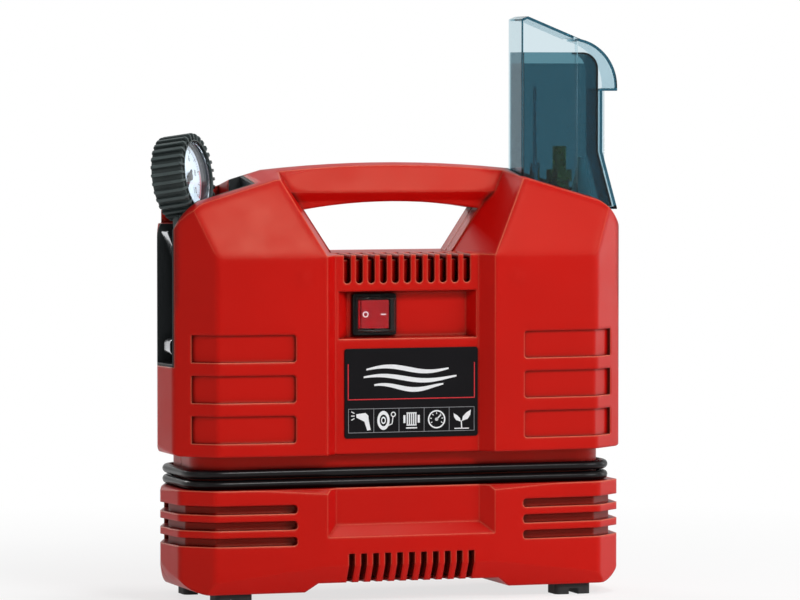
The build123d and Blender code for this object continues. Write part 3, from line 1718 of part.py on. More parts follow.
pipe_route = [
    (pump_x, head_size / 2 - 6, pipe_z),
    (pump_x, pipe_y, pipe_z),
    (outlet_x, pipe_y, pipe_z),
    (outlet_x, coupling_start + coupling_socket, pipe_z),
]
with BuildPart() as outlet_pipe:
    with BuildLine() as pipe_path:
        FilletPolyline(*pipe_route, radius=pipe_bend)
    with BuildSketch(Plane(pipe_path.line @ 0, z_dir=pipe_path.line % 0)):
        Circle(pipe_r)
        Circle(pipe_r - 1, mode=Mode.SUBTRACT)
    sweep(path=pipe_path.line)
write(outlet_pipe, "outlet_pipe")

with BuildPart() as outlet_coupling:
    ring_y(coupling_start, coupling_end, outlet_x, outlet_z, outlet_r)
    ring_y(rear_depth, rear_depth + coupling_flange, outlet_x, outlet_z, outlet_r + 4)
    ring_y(rear_depth - wall - 4, rear_depth - wall, outlet_x, outlet_z, outlet_r + 4)
    bore_start = coupling_start + coupling_socket
    ring_y(coupling_start - 1, bore_start, outlet_x, outlet_z, pipe_r + press, mode=Mode.SUBTRACT)
    ring_y(bore_start, coupling_end + 1, outlet_x, outlet_z, coupling_bore_r, mode=Mode.SUBTRACT)
write(outlet_coupling, "outlet_coupling")

with BuildPart() as coupling_sleeve:
    with BuildSketch(Plane.XZ.offset(-sleeve_start)):
        with Locations((outlet_x, outlet_z)):
            Circle(sleeve_r)
            with PolarLocations(sleeve_r, 24):
                Circle(0.7, mode=Mode.SUBTRACT)
            Circle(outlet_r + 0.35, mode=Mode.SUBTRACT)
    extrude(amount=-sleeve_length)
write(coupling_sleeve, "coupling_sleeve")

# Rubber pads that carry the motor and the pump on the raised middle of the floor
with BuildPart() as rubber_mounts:
    floor_z = base_z + base_notch_rise + wall
    for x in (stator_left + 8, stator_right - 8):
        for y in (-20, 20):
            block((x - 6, x + 6), (y - 8, y + 8), (floor_z, motor_z - stator_size / 2))
    for x in (frame_left + 8, frame_right - 10):
        for y in (-24, 24):
            block((x - 6, x + 6), (y - 7, y + 7), (floor_z, frame_low))
write(rubber_mounts, "rubber_mounts")
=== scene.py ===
"""Looks of a portable air compressor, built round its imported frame."""

import json
import math

import bmesh
import bpy
from mathutils import Matrix, Vector
from mathutils.bvhtree import BVHTree


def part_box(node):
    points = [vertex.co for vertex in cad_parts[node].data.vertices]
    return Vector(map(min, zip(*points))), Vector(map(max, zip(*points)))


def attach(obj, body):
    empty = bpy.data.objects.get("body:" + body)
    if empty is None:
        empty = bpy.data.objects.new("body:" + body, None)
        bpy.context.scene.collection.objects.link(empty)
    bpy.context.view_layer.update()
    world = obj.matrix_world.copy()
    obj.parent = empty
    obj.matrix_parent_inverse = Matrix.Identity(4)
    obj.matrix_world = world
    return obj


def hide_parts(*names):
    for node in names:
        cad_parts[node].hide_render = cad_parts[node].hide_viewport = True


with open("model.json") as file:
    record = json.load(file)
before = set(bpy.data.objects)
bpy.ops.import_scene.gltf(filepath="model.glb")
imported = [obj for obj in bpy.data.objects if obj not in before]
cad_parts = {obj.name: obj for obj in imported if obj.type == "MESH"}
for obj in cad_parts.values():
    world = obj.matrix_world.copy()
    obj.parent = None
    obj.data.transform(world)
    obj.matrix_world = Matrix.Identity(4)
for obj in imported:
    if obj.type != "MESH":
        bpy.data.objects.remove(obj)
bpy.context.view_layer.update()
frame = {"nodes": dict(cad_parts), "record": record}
nodes = frame["nodes"]

MM = 0.001
SCALE = Matrix.Diagonal((MM, MM, MM, 1.0))
FULL_TURN = 360.0
WHITE = (1.0, 1.0, 1.0, 1.0)
FACING_FRONT = Matrix.Rotation(math.radians(90), 4, "X")

body_of_node = {}
for body_name, members in frame["record"]["behaviour"]["bodies"].items():
    for member in members:
        body_of_node[member] = body_name


# Limits for edges, in degrees and metres: what is one corner, a facet of a round face, an edge to round

same_corner = 0.002 * MM
flat_turn = 0.4
shortest_edge = 0.01 * MM
facet_turn = 32.0
facet_width = 6.0 * MM
least_rounded_turn = 25.0
rounding_steps = 2
smooth_turn = 35.0
smooth_turn_softened = 38.0


# Small helpers: colour, mesh and placing


def paint(red, green, blue):
    """Screen colour of 0 to 255, as the linear colour that shaders take, by the sRGB curve."""
    linear = []
    for value in (red, green, blue):
        share = value / 255
        linear.append(share / 12.92 if share <= 0.04045 else ((share + 0.055) / 1.055) ** 2.4)
    return (*linear, 1.0)


def in_scene(name, data):
    """Object of some data, linked to the scene."""
    item = bpy.data.objects.new(name, data)
    bpy.context.scene.collection.objects.link(item)
    return item


def keep(bm, name, finish, body, sharp=smooth_turn):
    """Makes a piece of a bmesh in metres: smooth where it is round, and carried by a body."""
    for face in bm.faces:
        face.smooth = True
    for edge in bm.edges:
        edge.smooth = len(edge.link_faces) == 2 and edge.calc_face_angle(0.0) < math.radians(sharp)
    mesh = bpy.data.meshes.new(name)
    bm.to_mesh(mesh)
    bm.free()
    mesh.materials.append(finish.material)
    piece = in_scene(name, mesh)
    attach(piece, body)
    return piece


def merged(node):
    """Copy of a node's mesh with its triangles joined into whole faces."""
    bm = bmesh.new()
    bm.from_mesh(nodes[node].data)
    bmesh.ops.remove_doubles(bm, verts=bm.verts, dist=same_corner)
    bmesh.ops.dissolve_limit(bm, angle_limit=math.radians(flat_turn), verts=bm.verts, edges=bm.edges)
    return bm


def face_width(face, edge):
    return face.calc_area() / edge.calc_length()


def turn_of(edge):
    """How far the surface turns at an edge, in degrees; nothing along the facets of a round face."""
    if len(edge.link_faces) != 2 or edge.calc_length() < shortest_edge:
        return 0.0
    turn = math.degrees(edge.calc_face_angle(0.0))
    narrow = min(face_width(face, edge) for face in edge.link_faces)
    return 0.0 if turn < facet_turn and narrow < facet_width else turn


def softened(node, finish, radius):
    """Shows a node as a merged copy with edges rounded to a radius in millimetres."""
    bm = merged(node)
    weights = bm.edges.layers.float.new("bevel_weight_edge")
    for edge in bm.edges:
        if turn_of(edge) > least_rounded_turn:
            edge[weights] = 1.0
    piece = keep(bm, "shown_" + node, finish, body_of_node[node], smooth_turn_softened)
    rounding = piece.modifiers.new("edge_rounding", "BEVEL")
    rounding.limit_method = "WEIGHT"
    rounding.width = radius * MM
    rounding.segments = rounding_steps
    rounding.use_clamp_overlap = False
    rounding.harden_normals = True
    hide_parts(node)


def moved(x, y, z=0.0):
    return Matrix.Translation((x, y, z))


def polar(radius, turn):
    """Point at a radius and a turn in degrees."""
    around = math.radians(turn)
    return (radius * math.cos(around), radius * math.sin(around))


def raise_faces(bm, faces, thick):
    """Raises flat faces along Z into a slab, and gives back the points of its top."""
    raised = bmesh.ops.extrude_face_region(bm, geom=faces)["geom"]
    top = [item for item in raised if isinstance(item, bmesh.types.BMVert)]
    bmesh.ops.translate(bm, vec=(0, 0, thick), verts=top)
    return top


def plate(bm, points, place, thick):
    """Flat shape with a given outline in a place's XY plane, raised along its Z; all in millimetres."""
    face = bm.faces.new([bm.verts.new(Vector((x, y, 0.0))) for x, y in points])
    own = raise_faces(bm, [face], thick) + list(face.verts)
    bmesh.ops.recalc_face_normals(bm, faces=list({f for vert in own for f in vert.link_faces}))
    bmesh.ops.transform(bm, matrix=SCALE @ place, verts=own)


def bar(bm, centre, size, place, thick, turn=0.0):
    """Flat bar about a centre, turned in its plane by degrees."""
    wide, high = size[0] / 2, size[1] / 2
    spin = moved(*centre) @ Matrix.Rotation(math.radians(turn), 4, "Z")
    plate(bm, [(-wide, -high), (wide, -high), (wide, high), (-wide, high)], place @ spin, thick)


def band(bm, inner, outer, place, thick, start=0.0, sweep=FULL_TURN, steps=40, squeeze=1.0):
    """Flat ring, or a stretch of one, squeezed in its width where it is drawn at a slant."""
    first = [bm.verts.new(Vector((radius, 0.0, 0.0))) for radius in (inner, outer)]
    line = bm.edges.new(first)
    bmesh.ops.rotate(bm, cent=(0, 0, 0), matrix=Matrix.Rotation(math.radians(start), 3, "Z"), verts=first)
    before = set(bm.faces)
    bmesh.ops.spin(
        bm,
        geom=first + [line],
        axis=(0, 0, 1),
        cent=(0, 0, 0),
        angle=math.radians(sweep),
        steps=steps,
        use_merge=sweep >= FULL_TURN,
    )
    raise_faces(bm, [face for face in bm.faces if face not in before], thick)
    faces = [face for face in bm.faces if face not in before]
    bmesh.ops.recalc_face_normals(bm, faces=faces)
    narrow = Matrix.Diagonal((squeeze, 1.0, 1.0, 1.0))
    own = list({vert for face in faces for vert in face.verts})
    bmesh.ops.transform(bm, matrix=SCALE @ place @ narrow, verts=own)


def numeral(bm, letters, size, place, thick):
    """Upright number, centred on a place's origin."""
    curve = bpy.data.curves.new("numeral", "FONT")
    curve.body = letters
    curve.size = size
    curve.align_x = "CENTER"
    curve.align_y = "CENTER"
    curve.extrude = thick / 2
    flat = in_scene("numeral", curve)
    bpy.context.view_layer.update()
    mesh = bpy.data.meshes.new_from_object(flat)
    bpy.data.objects.remove(flat)
    mesh.transform(SCALE @ place @ moved(0, 0, thick / 2))
    bm.from_mesh(mesh)
    bpy.data.meshes.remove(mesh)


# Camera: a long lens well to the left and a little above. The picture's middle lies right of the level line
# of sight and below it, by a number of pixels at the lens's own length in pixels.

camera_place = (-1.1444, -3.4640, 0.3749)
camera_forward = Vector((0.31184, 0.95013, 0.0))
camera_right = Vector((0.95013, -0.31184, 0.0))
camera_up = Vector((0.0, 0.0, 1.0))
lens_pixels, aim_right_pixels, aim_down_pixels = 5045.0, 24.0, 223.6
lens_length, sensor_width, view_end = 227.0, 36.0, 60.0

camera_data = bpy.data.cameras.new("photo_camera")
camera_data.lens = lens_length
camera_data.sensor_width = sensor_width
camera_data.clip_end = view_end
camera = in_scene("photo_camera", camera_data)
aim_right = camera_right * (aim_right_pixels / lens_pixels)
aim_down = camera_up * (aim_down_pixels / lens_pixels)
aim = camera_forward + aim_right - aim_down
camera.location = camera_place
camera.rotation_mode = "QUATERNION"
camera.rotation_quaternion = aim.to_track_quat("-Z", "Y")
bpy.context.scene.camera = camera


# Materials


def socket_name(name):
    return name.replace("_", " ").title().replace("Ior", "IOR")


def add_node(tree, kind, operation=None, **constants):
    """New shader node, with constants on its input sockets."""
    node = tree.nodes.new("ShaderNode" + kind)
    if operation is not None:
        node.operation = operation
    for name, value in constants.items():
        node.inputs[socket_name(name)].default_value = value
    return node


def empty_tree(owner, output_kind):
    """Node tree of a material or a world, and the output that is all it holds."""
    owner.use_nodes = True
    tree = owner.node_tree
    tree.nodes.clear()
    return tree, add_node(tree, output_kind)


def mix_shaders(tree, share, first, second, output):
    """Sends a mix of two shaders to an output: the second one where the share is one."""
    mix = add_node(tree, "MixShader")
    tree.links.new(share, mix.inputs["Fac"])
    tree.links.new(first, mix.inputs[1])
    tree.links.new(second, mix.inputs[2])
    tree.links.new(mix.outputs["Shader"], output.inputs["Surface"])


# Where the casing's shoulders begin and where they are whole: out from the middle, and up from the floor
shoulder_aside = (0.062, 0.075)
shoulder_above = (0.205, 0.225)
edge_samples, gap_samples = 6, 8


class Finish:
    """A material with one principled shader, and the nodes that vary it over the surface."""

    def __init__(self, name, slot, colour, rough, metal=0.0):
        self.slot = slot
        self.colour = colour
        self.rough = rough
        self.material = bpy.data.materials.new(name)
        self.tree, self.output = empty_tree(self.material, "OutputMaterial")
        self.shader = self.add("BsdfPrincipled", base_color=colour, roughness=rough, metallic=metal)
        self.link(self.shader.outputs["BSDF"], self.output.inputs["Surface"])
        self.place = self.add("TexCoord").outputs["Object"]
        self.tone = None
        self.normal = None

    def add(self, kind, operation=None, **constants):
        return add_node(self.tree, kind, operation, **constants)

    def link(self, source, socket):
        self.tree.links.new(source, socket)

    def noise(self, scale, detail, stretch=None):
        source = self.place
        if stretch is not None:
            mapping = self.add("Mapping", scale=stretch)
            self.link(source, mapping.inputs["Vector"])
            source = mapping.outputs["Vector"]
        texture = self.add("TexNoise", scale=scale, detail=detail)
        self.link(source, texture.inputs["Vector"])
        return texture.outputs["Fac"]

    def spread(self, source, low, high, start=0.3, end=0.7):
        """A value that runs from low to high as the source runs from start to end."""
        node = self.add("MapRange", from_min=start, from_max=end, to_min=low, to_max=high)
        self.link(source, node.inputs["Value"])
        return node.outputs["Result"]

    def calculate(self, operation, *sources):
        node = self.add("Math", operation)
        for source, socket in zip(sources, node.inputs):
            self.link(source, socket)
        return node.outputs["Value"]

    def split(self, vector):
        node = self.add("SeparateXYZ")
        self.link(vector, node.inputs["Vector"])
        return node.outputs

    def openness(self, reach, samples):
        """How open the surroundings are, as far as a reach in millimetres."""
        node = self.add("AmbientOcclusion", distance=reach * MM)
        node.samples = samples
        return node.outputs["AO"]

    def blend(self, share, first, second):
        """Makes the colour a mix: the second where the share is one. None is the colour so far."""
        mix = self.add("Mix")
        mix.data_type = "RGBA"
        for name, colour in (("A", first), ("B", second)):
            if colour is None:
                self.link(self.tone, mix.inputs[name])
            else:
                mix.inputs[name].default_value = colour
        self.link(share, mix.inputs["Factor"])
        self.tone = mix.outputs["Result"]
        self.link(self.tone, self.shader.inputs["Base Color"])

    def bend(self, normal):
        """Gives the shader a normal to go by."""
        self.normal = normal
        self.link(normal, self.shader.inputs["Normal"])

    def cloud(self, scale, amount, detail=2.0):
        """Slow lightening and darkening of the colour."""
        dark = tuple(channel * (1 - amount) for channel in self.colour[:3])
        light = tuple(min(1.0, channel * (1 + amount)) for channel in self.colour[:3])
        share = self.spread(self.noise(scale, detail), 0.0, 1.0)
        self.blend(share, (*dark, 1.0), (*light, 1.0))
        return self

    def uneven(self, scale, amount, detail=3.0, stretch=None):
        """Patches of more and less gloss."""
        source = self.noise(scale, detail, stretch)
        value = self.spread(source, self.rough - amount, self.rough + amount)
        self.link(value, self.shader.inputs["Roughness"])
        return self

    def shoulders(self, elsewhere, there):
        """A value of its own on the shoulders, above the side grooves and either side of the handle."""
        axes = self.split(self.place)
        aside = self.spread(self.calculate("ABSOLUTE", axes["X"]), 0.0, 1.0, *shoulder_aside)
        above = self.spread(axes["Z"], 0.0, 1.0, *shoulder_above)
        return self.spread(self.calculate("MULTIPLY", aside, above), elsewhere, there, 0.0, 1.0)

    def around_edges(self, radius):
        """Normals that turn gently round the edges, to a radius in millimetres."""
        node = self.add("Bevel", radius=radius * MM)
        node.samples = edge_samples
        return node

    def rounded(self, radius, shoulder=None):
        """Edges that catch the light as moulded ones do, softer on the shoulders if asked."""
        node = self.around_edges(radius)
        if shoulder is not None:
            self.link(self.shoulders(radius * MM, shoulder * MM), node.inputs["Radius"])
        self.bend(node.outputs["Normal"])
        return self

    def rubbed(self, radius, pale, amount):
        """Painted highlight: paler along the outer edges that face up, where the rounded edges would catch
        the lamps above.
        """
        turned, flat = 0.82, 0.985
        hollow, outside = 0.7, 0.95
        downward, upward = -0.3, 0.5
        soft = self.around_edges(radius).outputs["Normal"]
        face = self.add("NewGeometry").outputs["True Normal"]
        match = self.add("VectorMath", "DOT_PRODUCT")
        self.link(soft, match.inputs[0])
        self.link(face, match.inputs[1])
        edge = self.spread(match.outputs["Value"], amount, 0.0, turned, flat)
        outer = self.spread(self.openness(2 * radius, edge_samples), 0.0, 1.0, hollow, outside)
        lit_from_above = self.spread(self.split(soft)["Z"], 0.0, 1.0, downward, upward)
        outer = self.calculate("MULTIPLY", outer, lit_from_above)
        self.blend(self.calculate("MULTIPLY", edge, outer), None, pale)
        return self

    def grain(self, scale, depth, strength, detail=3.0):
        """Fine relief, as deep as the depth in millimetres."""
        node = self.add("Bump", strength=strength, distance=depth * MM)
        self.link(self.noise(scale, detail), node.inputs["Height"])
        if self.normal is not None:
            self.link(self.normal, node.inputs["Normal"])
        self.bend(node.outputs["Normal"])
        return self

    def gaps(self, reach, dark):
        """Painted shade: a darker colour in the narrow gaps of a ribbed surface and in recesses, where
        little light reaches, as far as the reach in millimetres.
        """
        closed, outside = 0.35, 0.85
        share = self.spread(self.openness(reach, gap_samples), 0.0, 1.0, closed, outside)
        self.blend(share, dark, None)
        return self

    def clear(self, tint, soak, density):
        """Clear plastic: lamps shine through it, and its thickness soaks up some colour."""
        path = self.add("LightPath")
        through = self.add("BsdfTransparent", color=tint)
        shadow = path.outputs["Is Shadow Ray"]
        mix_shaders(self.tree, shadow, self.shader.outputs["BSDF"], through.outputs["BSDF"], self.output)
        body = self.add("VolumeAbsorption", color=soak, density=density)
        self.link(body.outputs["Volume"], self.output.inputs["Volume"])
        return self

    def set(self, **constants):
        for name, value in constants.items():
            self.shader.inputs[socket_name(name)].default_value = value
        return self


# Each finish has a name, a slot, a colour, a roughness and a share of metal. Cloud and uneven then take a
# scale and an amount; grain a scale, a depth and a strength; clear a tint, a soaked colour and a density.

casing_red = Finish("casing_red", "red_casing", paint(192, 10, 7), 0.34).cloud(9.0, 0.05).uneven(38.0, 0.04)
# casing_red gets painted shade in its gaps and recesses, and a painted highlight along its outer edges that
# face up.
casing_red.gaps(8.0, paint(104, 4, 2)).rubbed(2.0, paint(255, 150, 118), 0.8).rounded(3.2, 8.0)
casing_red.grain(2600.0, 0.06, 0.25, 2.0)
casing_red.set(specular_ior_level=0.22, specular_tint=(1.0, 0.72, 0.5, 1.0))
liner_black = Finish("liner_black", "black_liner", paint(33, 37, 39), 0.5).cloud(14.0, 0.12)
liner_black.rounded(0.8).grain(2200.0, 0.08, 0.5).set(specular_ior_level=0.3)
label_black = Finish("label_black", "label_black", paint(13, 12, 15), 0.4).cloud(20.0, 0.08)
label_black.uneven(60.0, 0.05).set(specular_ior_level=0.1)
boot_black = Finish("boot_black", "black_rubber", paint(70, 80, 80), 0.55).cloud(60.0, 0.12)
# boot_black gets painted shade in the gaps between its ribs.
boot_black.uneven(90.0, 0.1).gaps(4.0, paint(7, 11, 10)).grain(900.0, 0.1, 0.5).set(specular_ior_level=0.3)
foot_black = Finish("foot_black", "black_rubber", paint(24, 24, 25), 0.7).cloud(60.0, 0.15)
foot_black.rounded(1.2).grain(900.0, 0.1, 0.5)
cord_black = Finish("cord_black", "cord_black", paint(12, 10, 12), 0.26).cloud(40.0, 0.12)
cord_black.grain(1500.0, 0.03, 0.3).set(specular_ior_level=0.2)
plug_black = Finish("plug_black", "cord_black", paint(20, 19, 20), 0.5).cloud(40.0, 0.12)
plug_black.rounded(0.6).grain(1500.0, 0.08, 0.5)
frame_black = Finish("frame_black", "black_plastic", paint(10, 10, 11), 0.3).cloud(40.0, 0.1)
frame_black.grain(2400.0, 0.04, 0.4).set(specular_ior_level=0.14)
gun_black = Finish("gun_black", "black_plastic", paint(26, 27, 28), 0.52).cloud(30.0, 0.12)
gun_black.rounded(1.4).grain(1800.0, 0.08, 0.5)
rocker_red = Finish("rocker_red", "rocker_red", paint(140, 5, 16), 0.2).cloud(120.0, 0.12)
rocker_red.uneven(200.0, 0.05).set(specular_ior_level=0.16)
chrome = Finish("chrome", "chrome", paint(206, 208, 212), 0.16, 1.0).uneven(90.0, 0.05).cloud(40.0, 0.05)
pin_metal = Finish("pin_metal", "pin_metal", paint(206, 204, 198), 0.22, 1.0).uneven(90.0, 0.06)
pin_metal.cloud(40.0, 0.05)
steel = Finish("steel", "steel", paint(168, 170, 174), 0.32, 1.0)
steel.uneven(120.0, 0.08, stretch=(1, 1, 12)).cloud(50.0, 0.08)
screw_zinc = Finish("screw_zinc", "steel_screw", paint(176, 178, 180), 0.38, 1.0).uneven(300.0, 0.1)
screw_zinc.cloud(120.0, 0.1)
brass = Finish("brass", "brass", paint(206, 164, 88), 0.24, 1.0).uneven(160.0, 0.07).cloud(90.0, 0.08)
copper = Finish("copper", "copper", paint(196, 118, 76), 0.3, 1.0).uneven(160.0, 0.08).cloud(90.0, 0.1)
cast_alloy = Finish("cast_alloy", "aluminium", paint(190, 192, 195), 0.45, 1.0).uneven(160.0, 0.08)
cast_alloy.cloud(60.0, 0.08).grain(700.0, 0.1, 0.4)
carbon = Finish("carbon", "carbon", paint(34, 34, 36), 0.6).cloud(200.0, 0.2)
grey_plastic = Finish("grey_plastic", "grey_plastic", paint(118, 120, 122), 0.5).cloud(60.0, 0.06)
grey_plastic.grain(1800.0, 0.06, 0.4)
gear_plastic = Finish("gear_plastic", "gear_plastic", paint(224, 222, 212), 0.42).cloud(60.0, 0.04)
gear_plastic.grain(1800.0, 0.04, 0.3)
pale_plastic = Finish("pale_plastic", "pale_plastic", paint(222, 219, 208), 0.42).cloud(60.0, 0.04)
pale_plastic.grain(1800.0, 0.04, 0.3)
case_metal = Finish("case_metal", "gauge_metal", paint(60, 62, 66), 0.35, 0.6).cloud(60.0, 0.1)
dial_white = Finish("dial_white", "dial_white", paint(230, 238, 248), 0.5).cloud(120.0, 0.03)
needle_dark = Finish("needle_dark", "needle_dark", paint(24, 25, 28), 0.4).cloud(300.0, 0.1)
print_black = Finish("print_black", "needle_dark", paint(30, 33, 44), 0.45).cloud(300.0, 0.1)
print_white = Finish("print_white", "dial_white", paint(232, 234, 236), 0.42).cloud(300.0, 0.03)
print_grey = Finish("print_grey", "dial_white", paint(150, 152, 156), 0.42).cloud(300.0, 0.05)
print_red = Finish("print_red", "red_casing", paint(206, 20, 34), 0.4).cloud(300.0, 0.05)
hood_clear = Finish("hood_clear", "clear_hood", paint(236, 244, 248), 0.04).uneven(70.0, 0.02)
hood_clear.set(transmission_weight=1.0, ior=1.27).clear(paint(226, 236, 242), (0.2, 0.52, 0.6, 1.0), 150.0)
tub_tint = Finish("tub_tint", "tinted_tub", paint(196, 220, 226), 0.06).uneven(70.0, 0.03)
tub_tint.set(transmission_weight=1.0, ior=1.15).clear(paint(244, 250, 252), (0.06, 0.4, 0.47, 1.0), 1000.0)
glass_clear = Finish("glass_clear", "clear_cover", paint(246, 250, 252), 0.03).uneven(90.0, 0.015)
glass_clear.set(transmission_weight=1.0, ior=1.3).clear(paint(246, 250, 252), (0.8, 0.9, 0.9, 1.0), 4.0)
cover_clear = Finish("cover_clear", "clear_cover", paint(248, 248, 246), 0.06).uneven(120.0, 0.03)
cover_clear.set(transmission_weight=1.0, ior=1.18).clear(paint(246, 246, 246), (0.8, 0.86, 0.86, 1.0), 20.0)

node_finish = {
    casing_red: "front_shell rear_shell",
    liner_black: "left_bay_liner right_bay_liner",
    label_black: "label_plate",
    boot_black: "gauge_boot",
    foot_black: "rubber_feet rubber_mounts",
    screw_zinc: "foot_screws housing_screws motor_bolts head_bolts lever_pin",
    plug_black: "cord_gland mains_plug",
    cord_black: "cord_winding",
    pin_metal: "plug_pins",
    chrome: "gun_lever ball_needle coupling_sleeve",
    frame_black: "switch_frame",
    gun_black: "gun_body",
    rocker_red: "switch_rocker",
    cover_clear: "switch_cover",
    brass: "switch_terminals gun_nipple gun_chuck valve_adapter gauge_stem outlet_coupling",
    hood_clear: "storage_box",
    tub_tint: "storage_tub",
    pale_plastic: "cone_adapter",
    gear_plastic: "drive_gear",
    case_metal: "gauge_case",
    dial_white: "gauge_dial",
    needle_dark: "gauge_needle",
    glass_clear: "gauge_glass",
    steel: "motor_stator rotor_core motor_shaft crank_shaft crank_pin motor_bearings crank_bearing"
    " drive_pinion",
    copper: "stator_coils commutator outlet_pipe",
    carbon: "carbon_brushes piston_seal",
    grey_plastic: "brush_bracket cooling_fan",
    cast_alloy: "pump_frame pump_cylinder valve_plate cylinder_head connecting_rod",
}
for finish, names in node_finish.items():
    for node in names.split():
        for material_slot in nodes[node].material_slots:
            material_slot.material = finish.material


# Cord: two turns in the groove, on the route's own points, from the gland to the plug behind

cord_diameter, cord_length = 6.6, 1.475
gland_x = 20.0
cord_side, cord_front, cord_middle, cord_back = 157.6, -44.6, -0.5, 43.6
cord_low, cord_high = 85.6, 93.2
plug_y, plug_z = 60.3, 100.9
cord_turn = [
    (-100.0, cord_back),
    (-cord_side, cord_back),
    (-cord_side, cord_middle),
    (-cord_side, cord_front),
    (-106.0, cord_front),
    (106.0, cord_front),
    (cord_side, cord_front),
    (cord_side, cord_middle),
]
cord_route = [
    (gland_x, cord_back, cord_low),
    (-20.0, cord_back, cord_low),
    *((x, y, cord_low) for x, y in cord_turn),
    (cord_side, cord_back, cord_low),
    (124.0, cord_back, cord_low),
    (78.0, cord_back, cord_high),
    (40.0, cord_back, cord_high),
    *((x, y, cord_high) for x, y in cord_turn),
    (cord_side, 57.0, cord_high),
    (108.0, plug_y, plug_z),
    (84.0, plug_y, plug_z),
]
cord_curve = bpy.data.curves.new("mains_cord", "CURVE")
cord_curve.dimensions = "3D"
cord_curve.bevel_depth = cord_diameter / 2 * MM
cord_curve.bevel_resolution = 5
cord_curve.resolution_u = 10
cord_curve.use_fill_caps = True
cord_spline = cord_curve.splines.new("NURBS")
cord_spline.points.add(len(cord_route) - 1)
for point, place in zip(cord_spline.points, cord_route):
    point.co = (*(value * MM for value in place), 1.0)
cord_spline.order_u = 3
cord_spline.use_endpoint_u = True
cord_curve.materials.append(cord_black.material)
mains_cord = in_scene("mains_cord", cord_curve)
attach(mains_cord, "casing")
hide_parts("cord_winding")


# Softened copies of the small nodes that show

for node, finish, radius in (
    ("left_bay_liner", liner_black, 0.5),
    ("right_bay_liner", liner_black, 0.5),
    ("label_plate", label_black, 0.25),
    ("gauge_boot", boot_black, 0.35),
    ("mains_plug", plug_black, 0.8),
    ("plug_pins", pin_metal, 0.5),
    ("switch_frame", frame_black, 0.6),
    ("switch_rocker", rocker_red, 0.6),
    ("switch_cover", cover_clear, 0.5),
    ("storage_box", hood_clear, 0.3),
    ("gun_lever", chrome, 0.4),
    ("gun_chuck", brass, 0.3),
    ("gun_nipple", brass, 0.25),
    ("valve_adapter", brass, 0.4),
    ("ball_needle", chrome, 0.4),
    ("cone_adapter", pale_plastic, 0.4),
    ("gauge_dial", dial_white, 0.1),
    ("gauge_case", case_metal, 0.2),
    ("gauge_glass", glass_clear, 0.3),
    ("outlet_coupling", brass, 0.3),
):
    softened(node, finish, radius)


# Deep ribs and a back wall behind the low vents; each profile is depth from the case's face, and height

vent_pitch, vent_count, vent_gap = 9.0, 11, 4.4
rib_wide = vent_pitch - vent_gap
row_wide = vent_pitch * vent_count + rib_wide
rib_profile = [(3.2, 38.0), (3.2, 30.0), (9.7, 17.8), (15.0, 17.8), (9.5, 29.0), (9.5, 38.0)]
wall_profile = [(9.5, 38.0), (9.5, 29.0), (15.0, 17.8), (16.2, 17.8), (10.9, 29.2), (10.9, 38.0)]
across = Matrix(((0, 0, 1, 0), (1, 0, 0, 0), (0, 1, 0, 0), (0, 0, 0, 1)))
front_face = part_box("front_shell")[0][1] / MM
rear_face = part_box("rear_shell")[1][1] / MM
deep_vents = bmesh.new()
for face_y, inward in ((front_face, 1), (rear_face, -1)):
    rib_side = [(face_y + inward * depth, height) for depth, height in rib_profile]
    wall_side = [(face_y + inward * depth, height) for depth, height in wall_profile]
    for rib in range(vent_count + 1):
        start = vent_pitch * (rib - vent_count / 2) - rib_wide / 2
        plate(deep_vents, rib_side, moved(start, 0) @ across, rib_wide)
    plate(deep_vents, wall_side, moved(-row_wide / 2, 0) @ across, row_wide)
keep(deep_vents, "low_vent_ribs", casing_red, "casing")


# Label print: a plain air motif over a row of small pictograms, in millimetres from the label's middle

label_face = moved(2.9, -49.8, 149.0) @ FACING_FRONT
ink = 0.05

frame_side, frame_middle, frame_high = 47.6, 8.4, 25.4
frame_foot, frame_wide, frame_line = -4.3, 95.9, 0.7
red_lines = bmesh.new()
for side in (-frame_side, frame_side):
    bar(red_lines, (side, frame_middle), (frame_line, frame_high), label_face, ink)
bar(red_lines, (0.0, frame_foot), (frame_wide, frame_line), label_face, ink)
keep(red_lines, "label_frame_line", print_red, "casing")

cell_wide, cell_high, cell_middle, cell_count = 18.96, 16.8, -19.5, 5
row_left, row_top, row_foot, row_length, cell_line = -47.4, -11.0, -28.0, 95.1, 0.3
grey_lines = bmesh.new()
for edge_v in (row_top, row_foot):
    bar(grey_lines, (0.0, edge_v), (row_length, cell_line), label_face, ink)
for cell_edge in range(cell_count + 1):
    edge_u = row_left + cell_wide * cell_edge
    bar(grey_lines, (edge_u, cell_middle), (cell_line, cell_high), label_face, ink)
keep(grey_lines, "label_cell_lines", print_grey, "casing")

stream_rows = ((62.0, -34.0), (70.0, -36.0), (52.0, -28.0))
stream_steps, stream_thick, stream_thin, stream_swing = 36, 3.4, 0.35, 2.0
stream_top, stream_pitch, stream_shift = 17.0, 6.4, 0.5
streams = bmesh.new()
for row, (length, start_u) in enumerate(stream_rows):
    before = set(streams.verts)
    bmesh.ops.create_grid(streams, x_segments=stream_steps, y_segments=1, size=0.5)
    made = [vert for vert in streams.verts if vert not in before]
    for vert in made:
        along = vert.co.x + 0.5
        taper = stream_thin + (1.0 - stream_thin) * math.sin(math.pi * along)
        swing = stream_swing * math.sin(2.0 * math.pi * along + stream_shift * row)
        vert.co.y = vert.co.y * stream_thick * taper + swing
        vert.co.x = start_u + length * along
        vert.co.y += stream_top - stream_pitch * row
    bmesh.ops.transform(streams, matrix=SCALE @ label_face @ moved(0, 0, ink), verts=made)
keep(streams, "label_air_streams", print_white, "casing")


# Pictograms, each in millimetres from its cell's middle

